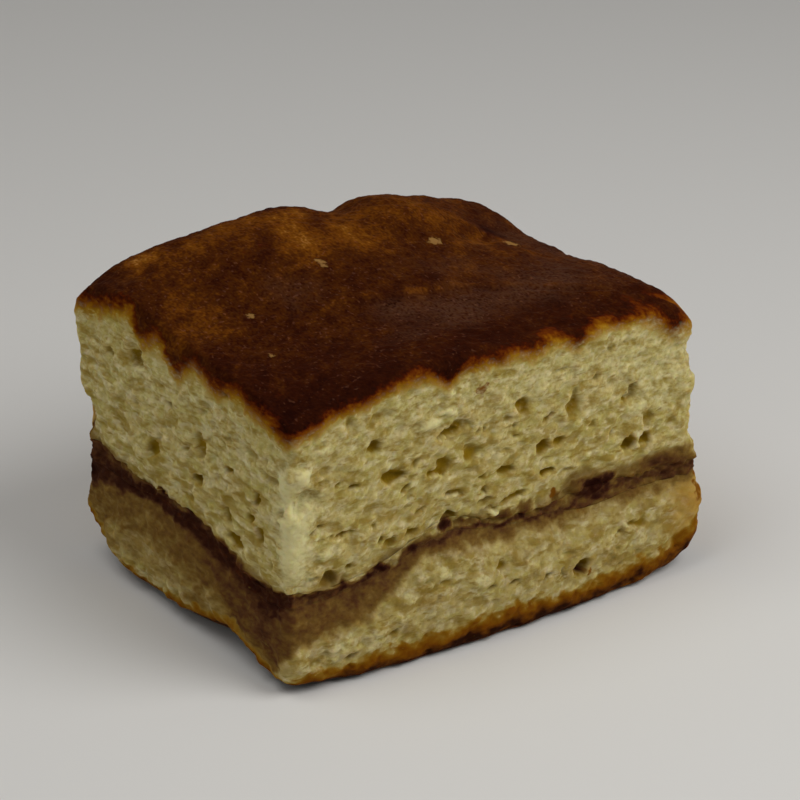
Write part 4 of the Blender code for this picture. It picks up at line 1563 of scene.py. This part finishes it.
@dataclass
class LowerLayer(Layer):
    """The thin lower layer: dense and damp under the ribbon, crumbly below, with a golden brown base."""

    name: str = "lower_crumb_and_base"
    node: str = "lower_cake_layer"
    slot: str = "lower_crumb"
    seam: Seam = Seam()
    top_radius: float = 0.15
    foot_radius: float = 1.6
    level_pitch: float = 0.32
    fine_cap: Cap = Cap.FOOT
    relief: CrumbRelief = CrumbRelief(seed=23)
    # The depth of a hollow whose painted shade mark is 1
    hollow_depth: float = 1.1
    torn_seed: int = 115
    # The crumb is dense from this stain on, and fully so a width past it
    dense_stain: float = 0.2
    dense_width: float = 0.3
    # How much of the crumb's lumps is left where it isn't crumbly
    least_roughness: float = 0.25
    # How far the crumb under the dense band stands out past it
    ledge: float = 0.4
    flake_height: float = 0.4
    # How damp the crumb is, and how much damper in the dense band; the even damp over the whole lower layer is
    # partly painted shade, which keeps it darker than the upper layer
    moisture: float = 0.5
    dense_moisture: float = 0.3
    trims: tuple[Push, ...] = pushes(
        (35.3, -27.4, 14.0, 3.0, 3.0, 2.5, 0.7),
        (35.5, -27.4, 10.5, 3.0, 3.0, 2.0, 0.4),
        (-35.8, 26.0, 10.6, 3.0, 3.0, 3.0, -0.4),
        (-36.0, -28.5, 6.0, 3.0, 3.0, 2.0, 0.2),
    )
    # Thickness of the browned base along the wide face
    wide_base: Profile = Profile(
        (-36.0, -27.0, -24.0, -12.0, -5.6, 3.0, 12.0, 16.5, 26.4, 33.0, 36.0),
        (1.4, 2.4, 3.0, 3.0, 3.8, 3.6, 3.4, 3.4, 3.8, 4.2, 4.4),
    )
    # How dark the base gets along the wide face
    wide_toast: Profile = Profile((-36.0, 8.0, 24.0, 36.0), (1.0, 1.0, 0.86, 0.84))
    narrow_base: float = 1.4
    base_clouds: tuple[Grain, ...] = grains((0.35, 2.4, 113), (0.25, 1.0, 114))
    # The height over which the base mark falls by 1
    base_range: float = 4.8
    # Where the wide face begins to be browned by the tin at its right end, and over what width it does
    margin_start: float = 27.0
    margin_width: float = 8.0
    margin_strength: float = 0.8
    wide_dents: tuple[Dent, ...] = dents(
        (-10.5, 14.5, 1.0, 0.5, 0.6), (-11.3, 11.6, 1.0, 0.6, 0.6), (-1.3, 11.0, 1.1, 0.7, 0.9),
        (0.4, 7.9, 1.3, 0.5, 0.7, 0.4), (-4.0, 8.7, 0.8, 0.4, 0.7), (5.9, 7.2, 1.3, 0.4, 0.7, 0.4),
        (9.2, 6.9, 0.5, 0.7, 0.7), (2.8, 10.5, 0.6, 0.4, 0.5), (23.6, 10.4, 1.7, 0.5, 0.9),
        (20.4, 9.3, 1.0, 0.4, 0.6), (12.8, 6.7, 1.6, 1.2, 2.0), (-27.0, 4.2, 1.2, 0.6, 0.7),
        (-20.0, 6.0, 1.0, 0.5, 0.6),
    )
    # Flakes of crumb that stand out of the wide face
    wide_flakes: tuple[Dent, ...] = dents(
        (-28.4, 6.4, 2.1, 1.3, 0.55), (-22.5, 6.6, 2.1, 1.2, 0.5), (-17.1, 10.3, 1.2, 1.1, 0.7),
        (-14.4, 12.3, 0.8, 0.6, 0.6), (-11.1, 12.6, 0.9, 1.0, 0.7), (-13.5, 11.1, 0.6, 0.6, 0.6),
        (-34.8, 5.0, 1.5, 1.0, 0.5), (-32.7, 3.6, 1.1, 1.0, 0.5), (-29.6, 4.6, 0.9, 0.7, 0.6),
        (-23.6, 4.4, 1.5, 0.8, 0.6), (-5.6, 10.1, 1.3, 0.8, 0.6), (-18.0, 7.5, 1.5, 0.9, 0.5),
        (-12.0, 6.4, 2.0, 0.8, 0.4), (-4.0, 12.2, 1.6, 0.8, 0.4), (2.0, 9.4, 2.0, 0.8, 0.4),
        (21.7, 10.3, 1.0, 0.6, 0.6), (23.6, 7.4, 2.0, 0.8, 0.5), (29.0, 6.6, 2.0, 1.0, 0.4),
    )
    wide_rust: tuple[Swell, ...] = swells(
        (14.2, 5.6, 1.0, 0.8, 0.7),
        (35.5, 12.6, 1.0, 3.4, 0.7),
        (28.7, 10.2, 1.6, 1.2, 0.35),
        (-0.5, 4.2, 0.9, 0.6, 1.0),
        (3.2, 3.6, 0.9, 0.9, 0.7),
        (15.0, 14.6, 3.0, 0.7, 0.5),
        (30.5, 3.8, 2.5, 0.9, 0.6),
    )

    def top(self, x: Array, y: Array) -> Array:
        """The face that lies under the ribbon."""
        return self.form.lower_top(x, y)

    def underside(self, x: Array, y: Array) -> Array:
        """The browned base."""
        return self.form.foot_height(x, y)

    def wall_height(self) -> float:
        """From the board to the ribbon."""
        return self.form.ribbon_level

    def base(self, skin: Skin, normals: Array) -> Array:
        """How far each point is browned from below: 1 on the underside, 0.2 and less on clean crumb.

        It falls evenly with the height over the underside, starts higher where the base is thicker, and gets
        less dark towards the right end of the wide face. Small clouds make the line uneven.

        Args:
            skin: the layer's surface.
            normals: its unit normals.

        Returns:
            One mark from 0 to 1 for each point.
        """
        x, y, z = skin.points.T
        baked = 1.0 - cut_share(skin)
        thick = on_faces(skin, self.wide_base.at(x), np.full_like(x, self.narrow_base)) + baked
        thick += grained(self.base_clouds, skin.points)
        over_foot = z - self.form.foot_height(x, y)
        base = np.clip(0.5 + (thick - over_foot) / self.base_range, 0.0, 1.0)
        base = np.minimum(base, on_faces(skin, self.wide_toast.at(x), np.ones_like(x)) + baked)
        return np.maximum(base, rising(-normals[:, 2], 0.3, 0.4))

    def dress(self, skin: Skin, level: Array) -> None:
        """Roughens the crumb under the dense band, and marks the band, the base, painted shade in the hollows and
        creases, and rust spots.

        On the cut faces the surface rises by the crumb's lumps less the depth of its holes, least in the dense
        band, and the open crumb stands out past that band by a ledge. The end under the ribbon stays as it is
        moulded, and nothing goes below the board.

        Args:
            skin: the moulded surface, whose points are moved and whose marks are set.
            level: from 0 at the layer's underside to 1 at its top.
        """
        self.trim(skin, level)
        points, normals = skin.points, skin.normals()
        x, y, z = points.T
        zero = np.zeros_like(x)
        upright = rising(1.0 - np.abs(normals[:, 2]), 0.2, 0.4)
        cut, baked_side = cut_share(skin) * upright, (1.0 - cut_share(skin)) * upright
        stain = self.seam.stain(skin)
        dense = rising(stain, self.dense_stain, self.dense_width)
        base = self.base(skin, normals)
        ragged = torn(points, self.torn_seed)
        along_x, _, height = ragged.T
        named = on_faces(skin, dented(self.wide_dents, along_x, height), zero)
        crumbly = cut * (1.0 - on_faces(skin, 0.5 * dense, 0.3 * dense)) * (1.0 - 0.6 * rising(base, 0.5, 0.3))
        depth = np.maximum(self.relief.holes(ragged) * (1.0 - dense), named) * cut
        under = self.form.lower_top(x, y) - z
        ledge = self.ledge * (1.0 - dense) * cut * rising(level, 0.0, 0.2) * rising(under, 1.0, 3.0)
        lumps, crease = self.relief.lumps(points)
        flakes = on_faces(skin, dented(self.wide_flakes, along_x, height), zero)
        rough = self.least_roughness + (1.0 - self.least_roughness) * crumbly
        rise = lumps * rough * upright + ledge - depth + self.flake_height * flakes
        margin = self.margin_strength * cut * rising(x, self.margin_start, self.margin_width)
        hidden = rising(level, 0.97, 0.03)
        skin.points = points + normals * (rise * (1.0 - hidden))[:, None]
        skin.points[:, 2] = np.maximum(skin.points[:, 2], 0.0)
        skin.marks = {
            # painted shade, darker in deeper holes
            "hollow": depth / self.hollow_depth,
            # where the creases get painted shade
            "crease": crease * crumbly,
            # damp, and partly painted shade over the whole lower layer
            "damp": self.moisture + self.dense_moisture * dense,
            "rust": on_faces(skin, swelled(self.wide_rust, x, z), zero),
            "baked": np.maximum(baked_side, margin),
            "base": base,
            "stain": stain,
            "pale": flakes,
            "crumbly": crumbly,
        }


@dataclass(frozen=True)
class Finish:
    """A finish of the cake: the name of what it is, and the material that shows it."""

    name: str = ""

    def material(self) -> bpy.types.Material:
        """The node material of this finish."""
        raise NotImplementedError


class Blend:
    """A material being put together: its node tree, the patterns that its layers share, and its colour so far."""

    def __init__(self, name: str, colour: str) -> None:
        """Starts a material of one colour.

        Args:
            name: the material's name.
            colour: its first colour.
        """
        self.material = bpy.data.materials.new(name)
        self.material.use_nodes = True
        self.tree = self.material.node_tree
        self.shader = self.tree.nodes["Principled BSDF"]
        self.place = add_node(self.tree, "ShaderNodeTexCoord", {}).outputs["Object"]
        self.paint: object = linear(colour)
        self.normal: object = None
        self.broad, self.mottle = self.noise(3.2, 2.0, 1.3), self.noise(1.7, 3.0, 1.5)
        self.fine, self.grain = self.noise(0.6, 2.0, 1.3), self.noise(0.35, 0.0)

    def mark(self, name: str) -> bpy.types.NodeSocket:
        """What the surface is marked with under that name, 0 where it isn't."""
        return add_node(self.tree, "ShaderNodeAttribute", {}, attribute_name=name).outputs["Fac"]

    def noise(self, size: float, detail: float = 2.0, stretch: float = 1.0) -> bpy.types.NodeSocket:
        """Cloudy noise from 0 to 1.

        Args:
            size: distance between its features in millimetres.
            detail: how many finer layers it has.
            stretch: how many times flatter than wide its features are.

        Returns:
            The noise's output.
        """
        inputs = {"Vector": self.place, "Scale": (1.0, LONGER_ALONG_Y, stretch)}
        place = add_node(self.tree, "ShaderNodeMapping", inputs).outputs[0]
        inputs = {"Vector": place, "Scale": per_metre(size), "Detail": detail}
        return add_node(self.tree, "ShaderNodeTexNoise", inputs).outputs["Fac"]

    def share(self, value: object, low: float, high: float) -> bpy.types.NodeSocket:
        """How far a value lies from low to high, as a smooth share."""
        inputs = {"Value": value, "From Min": low, "From Max": high}
        return add_node(self.tree, "ShaderNodeMapRange", inputs, interpolation_type="SMOOTHSTEP").outputs[0]

    def math(self, operation: str, first: object, second: object) -> bpy.types.NodeSocket:
        """Two values joined by an operation."""
        return add_node(self.tree, "ShaderNodeMath", {0: first, 1: second}, operation=operation).outputs[0]

    def shaken(self, value: object, noise: object, amount: float) -> bpy.types.NodeSocket:
        """A value moved up and down by a noise, by at most half the amount.

        Args:
            value: what is moved.
            noise: from 0 to 1.
            amount: the whole way from down to up.

        Returns:
            The moved value's output.
        """
        inputs = {0: noise, 1: amount, 2: -amount / 2}
        moved = add_node(self.tree, "ShaderNodeMath", inputs, operation="MULTIPLY_ADD").outputs[0]
        return self.math("ADD", value, moved)

    def ramp(self, value: object, stops: Sequence) -> bpy.types.NodeSocket:
        """The colour that stops give for a value."""
        return add_node(self.tree, "ShaderNodeValToRGB", {"Fac": value}, stops=stops).outputs["Color"]

    def over(self, colour: object, weight: object, *shares: object) -> None:
        """Lays a colour over what is there, by a weight multiplied by the shares.

        Args:
            colour: a hex colour, or the output of a ramp.
            weight: 1 hides what is there.
            shares: from 0 to 1.
        """
        for share in shares:
            weight = self.math("MULTIPLY", weight, share)
        laid = linear(colour) if isinstance(colour, str) else colour
        inputs = {MIX_FACTOR: weight, MIX_A: self.paint, MIX_B: laid}
        self.paint = add_node(self.tree, "ShaderNodeMix", inputs, data_type="RGBA").outputs[MIX_RESULT]

    def bump(self, height: object, distance: float, strength: float = 1.0) -> None:
        """Adds relief too fine for the mesh.

        Args:
            height: the relief's height from 0 to 1.
            distance: its full height in millimetres.
            strength: how much of it shows.
        """
        inputs = {"Height": height, "Distance": distance * MM, "Strength": strength}
        if self.normal is not None:
            inputs["Normal"] = self.normal
        self.normal = add_node(self.tree, "ShaderNodeBump", inputs).outputs["Normal"]

    def done(self) -> bpy.types.Material:
        """Links the colour and the relief to the shader.

        Returns:
            The finished material.
        """
        self.tree.links.new(self.paint, self.shader.inputs["Base Color"])
        self.tree.links.new(self.normal, self.shader.inputs["Normal"])
        return self.material


@dataclass(frozen=True)
class BakedCrumb(Finish):
    """Yellow cake crumb, torn by a knife, stained by cinnamon and browned above and below.

    The cinnamon paste is crumb soaked in filling, so the same finish shows it, with its stain mark high all over.
    """

    name: str = "baked_yellow_crumb"
    # Open crumb and the patches that vary it, with painted shade in its creases and lens-shaped hollows
    crumb: str = "#c8b97a"
    green_crumb: str = "#bbae69"
    cream_crumb: str = "#d8cc9c"
    pink_crumb: str = "#b99d63"
    pale_crumb: str = "#e0d8b4"
    deep_crumb: str = "#9c8236"
    # painted shade in the creases between the crumb's lumps
    crease: str = "#8a7026"
    flake: str = "#d8cf98"
    speck: str = "#94703c"
    # painted highlight: small reddish glints on the crust
    painted_glint: str = "#7c4e3a"
    # painted shade: amber lens-shaped shadows of shallow hollows in open crumb
    lens: str = "#8c7226"
    # painted shade inside the air holes
    hollow: str = "#886a14"
    damp: str = "#6e5426"
    rust: str = "#78480d"
    baked_side: str = "#b08a3c"
    baked_blotch: str = "#9c6a28"
    # Colours by the browned mark, from the first golden crumb to the dark edge under the crust
    edge_stops: tuple = (
        (0.20, "#a38531"),
        (0.28, "#956d18"),
        (0.36, "#895c0c"),
        (0.44, "#764205"),
        (0.52, "#5f2903"),
        (0.60, "#491602"),
        (0.70, "#360f02"),
    )
    # Colours by the crust's tone, from its darkest hollows to amber folds
    crust_stops: tuple = (
        (0.0, "#200702"),
        (0.3, "#301003"),
        (0.5, "#451f05"),
        (0.7, "#613307"),
        (0.85, "#76470f"),
        (1.0, "#a27036"),
    )
    # Colours by the base mark, from clean crumb to the toasted underside
    base_stops: tuple = (
        (0.25, "#a58d44"),
        (0.40, "#8d6a20"),
        (0.52, "#80560f"),
        (0.66, "#734307"),
        (0.80, "#5f350b"),
        (0.92, "#432009"),
        (1.0, "#2a1307"),
    )
    # Colours by the stain, from damp crumb to the filling itself
    stain_stops: tuple = (
        (0.0, "#a8935a"),
        (0.25, "#957a42"),
        (0.42, "#7b602c"),
        (0.55, "#694c21"),
        (0.68, "#55351c"),
        (0.82, "#3a1d10"),
        (1.0, "#240c06"),
    )
    # painted sheen: a greyish tint on the crust
    painted_sheen: str = "#4a2c1c"
    roughness: float = 0.75
    lustre: float = 0.02
    # How much light goes in, how far in millimetres, and that way's shares of red, green and blue
    softness: float = 0.7
    soft_depth: float = 1.2
    soft_shares: tuple[float, float, float] = (1.0, 0.6, 0.2)

    def paint_crumb(self, mix: Blend) -> None:
        """Open crumb: greener, pinker, creamier and deeper patches, then painted shade in the creases and amber
        lens-shaped shadows.

        Args:
            mix: the material being put together.
        """
        open_crumb = mix.mark("crumbly")
        mix.over(self.green_crumb, mix.share(mix.broad, 0.44, 0.58))
        mix.over(self.pink_crumb, mix.share(mix.noise(3.8, 2.0), 0.5, 0.64), 0.35)
        mix.over(self.cream_crumb, mix.share(mix.noise(2.0, 3.0, 1.8), 0.47, 0.62), 0.85)
        mix.over(self.pale_crumb, mix.share(mix.fine, 0.52, 0.7), 0.15)
        mix.over(self.deep_crumb, mix.share(mix.fine, 0.46, 0.32), 0.3)
        # painted shade in the creases
        mix.over(self.crease, mix.mark("crease"), 0.4)
        # painted shade: lens-shaped shadows laid by noise on open crumb
        mix.over(self.lens, mix.share(mix.noise(3.0, 3.0, 2.0), 0.51, 0.38), open_crumb, 0.68)
        mix.over(self.lens, mix.share(mix.noise(2.0, 2.0, 2.6), 0.41, 0.30), open_crumb, 0.7)

    def paint_stains(self, mix: Blend) -> None:
        """What darkens the crumb: painted shade in the air holes, then damp, the sides' baked skin, cinnamon, the
        base and rust spots.

        Args:
            mix: the material being put together.
        """
        # painted shade in the air holes
        mix.over(self.hollow, mix.share(mix.shaken(mix.mark("hollow"), mix.fine, 0.25), 0.08, 0.75))
        mix.over(self.damp, mix.share(mix.shaken(mix.mark("damp"), mix.mottle, 0.6), 0.2, 1.1), 0.9)
        skin = mix.ramp(mix.broad, ((0.45, self.baked_side), (0.7, self.baked_blotch)))
        mix.over(skin, mix.mark("baked"))
        stain = mix.shaken(mix.shaken(mix.mark("stain"), mix.mottle, 0.5), mix.fine, 0.25)
        mix.over(mix.ramp(stain, self.stain_stops), mix.share(stain, 0.1, 0.5))
        base = mix.shaken(mix.shaken(mix.mark("base"), mix.mottle, 0.7), mix.broad, 0.7)
        mix.over(mix.ramp(base, self.base_stops), mix.share(base, 0.22, 0.45))
        rust = mix.mark("rust")
        rusty = mix.share(mix.shaken(rust, mix.noise(0.9, 2.0), 2.0), 0.35, 0.75)
        mix.over(self.rust, rusty, mix.share(rust, 0.05, 0.5))

    def paint_crust(self, mix: Blend) -> bpy.types.NodeSocket:
        """The browned edge and the crust, then pale flakes, beige specks and painted reddish highlights (glints).

        Args:
            mix: the material being put together.

        Returns:
            How much each place is crust.
        """
        browned = mix.shaken(mix.shaken(mix.mark("browned"), mix.mottle, 0.4), mix.fine, 0.3)
        crusty = mix.share(browned, 0.55, 0.70)
        mix.over(mix.ramp(browned, self.edge_stops), mix.share(browned, 0.11, 0.26))
        tone = mix.shaken(mix.shaken(mix.mark("tone"), mix.noise(0.8, 1.0), 0.35), mix.grain, 0.35)
        mix.over(mix.ramp(tone, self.crust_stops), crusty)
        # painted sheen on the crust, broken up by the grain
        painted_sheen = mix.share(mix.shaken(mix.mark("painted_sheen"), mix.noise(4.5, 2.0), 0.7), 0.1, 0.9)
        mix.over(self.painted_sheen, painted_sheen, mix.share(mix.grain, 0.1, 0.7), crusty)
        pale = mix.mark("pale")
        flaky = mix.share(mix.shaken(mix.shaken(pale, mix.mottle, 0.8), mix.fine, 0.8), 0.15, 1.1)
        mix.over(self.flake, flaky, mix.share(pale, 0.02, 0.4))
        mix.over(self.speck, mix.share(mix.shaken(mix.mark("speck"), mix.fine, 1.2), 0.4, 0.7), 0.75)
        # painted highlights: sparse small glints where the crust is browned
        painted_glint = mix.share(mix.noise(0.45, 0.0), 0.68, 0.8)
        mix.over(self.painted_glint, painted_glint, mix.share(browned, 0.7, 0.85), 0.25)
        return crusty

    def material(self) -> bpy.types.Material:
        """Leavened crumb is matt and lets light in a little; the crust is darker, with a finer grain.

        Returns:
            The material of a piece of cake.
        """
        mix = Blend(self.name, self.crumb)
        self.paint_crumb(mix)
        self.paint_stains(mix)
        crusty = self.paint_crust(mix)
        mix.shader.inputs["Roughness"].default_value = self.roughness
        mix.shader.inputs["Specular IOR Level"].default_value = self.lustre
        mix.shader.inputs["Subsurface Weight"].default_value = self.softness
        mix.shader.inputs["Subsurface Radius"].default_value = self.soft_shares
        mix.shader.inputs["Subsurface Scale"].default_value = self.soft_depth * MM
        mix.bump(mix.mottle, 0.1)
        mix.bump(mix.fine, 0.07)
        mix.bump(mix.math("MULTIPLY", mix.grain, crusty), 0.06)
        return mix.done()


@dataclass(frozen=True)
class MattPaper(Finish):
    """Pale uncoated paper under the cake, for the picture alone."""

    name: str = "matt_pale_paper"
    colour: str = "#dcdad6"
    roughness: float = 0.9
    lustre: float = 0.1

    def material(self) -> bpy.types.Material:
        """Uncoated paper scatters light evenly and has hardly any highlight.

        Returns:
            The material of the floor.
        """
        paper = bpy.data.materials.new(self.name)
        paper.use_nodes = True
        shader = paper.node_tree.nodes["Principled BSDF"]
        shader.inputs["Base Color"].default_value = linear(self.colour)
        shader.inputs["Roughness"].default_value = self.roughness
        shader.inputs["Specular IOR Level"].default_value = self.lustre
        return paper


@dataclass
class Studio:
    """The pale floor, the soft lights and the camera."""

    form: CakeForm
    floor_size: float = 3000.0
    floor: MattPaper = MattPaper()
    # The point that the camera and the lights look at, and the camera's bearing, distance and lens
    aim: tuple[float, float, float] = (2.463, 0.405, 24.46)
    azimuth: float = -35.38
    elevation: float = 24.37
    distance: float = 550.0
    lens: float = 169.245
    sensor: float = 36.0
    # Lights: name, azimuth, elevation, distance, width, spread in degrees and power in watts
    lights: tuple[tuple[str, float, float, float, float, float, float], ...] = (
        ("key", 30.0, 46.0, 500.0, 380.0, 145.0, 0.94),
        ("fill", -70.0, 35.0, 700.0, 500.0, 180.0, 0.31),
        ("sky", -100.0, 66.0, 580.0, 420.0, 130.0, 0.45),
    )
    world_colour: str = "#f2f1ef"
    world_strength: float = 0.2

    def back(self, azimuth: float, elevation: float) -> Vector:
        """The way from the object towards a viewer at that azimuth and elevation."""
        turn, climb = math.radians(azimuth), math.radians(elevation)
        return Vector((math.sin(turn) * math.cos(climb), -math.cos(turn) * math.cos(climb), math.sin(climb)))

    def aimed(self, made: bpy.types.Object, azimuth: float, elevation: float, distance: float) -> None:
        """Places an object on that bearing from the aim, looking at it.

        Args:
            made: the lamp or camera.
            azimuth: degrees from -Y towards +X.
            elevation: degrees above the floor.
            distance: millimetres from the aim.
        """
        back = self.back(azimuth, elevation)
        made.location = (Vector(self.aim) + back * distance) * MM
        made.rotation_mode = "QUATERNION"
        made.rotation_quaternion = (-back).to_track_quat("-Z", "Y")
        bpy.context.scene.collection.objects.link(made)

    def build(self) -> None:
        """Makes the floor, the lights, the world and the camera."""
        half = self.floor_size / 2 * MM
        mesh = bpy.data.meshes.new("studio_floor")
        corners = [(-half, -half, 0), (half, -half, 0), (half, half, 0), (-half, half, 0)]
        mesh.from_pydata(corners, [], [(0, 1, 2, 3)])
        mesh.materials.append(self.floor.material())
        floor = bpy.data.objects.new("studio_floor", mesh)
        bpy.context.scene.collection.objects.link(floor)
        for name, azimuth, elevation, distance, width, spread, power in self.lights:
            lamp = bpy.data.lights.new(name, "AREA")
            lamp.shape = "DISK"
            lamp.size = width * MM
            lamp.spread = math.radians(spread)
            lamp.energy = power
            self.aimed(bpy.data.objects.new(name, lamp), azimuth, elevation, distance)
        world = bpy.data.worlds.new("soft_grey")
        world.use_nodes = True
        world.node_tree.nodes["Background"].inputs["Color"].default_value = linear(self.world_colour)
        world.node_tree.nodes["Background"].inputs["Strength"].default_value = self.world_strength
        scene = bpy.context.scene
        scene.world = world
        scene.view_settings.view_transform = "Standard"
        lens = bpy.data.cameras.new("photo_camera")
        lens.lens, lens.sensor_width = self.lens, self.sensor
        lens.clip_start, lens.clip_end = 10.0 * MM, 10000.0 * MM
        camera = bpy.data.objects.new("photo_camera", lens)
        self.aimed(camera, self.azimuth, self.elevation, self.distance)
        scene.camera = camera
        log.info("studio: floor, %d lights and camera", len(self.lights))


def main() -> None:
    """Builds the pieces of the cake in order, then the studio round them."""
    logging.basicConfig(level=logging.INFO)
    form = CakeForm()
    crumb = BakedCrumb()
    LowerLayer(form).build(crumb)
    CinnamonRibbon(form).build(BakedCrumb(name="baked_cinnamon_paste"))
    UpperLayer(form).build(crumb)
    Studio(form).build()


if __name__ == "__main__":
    main()
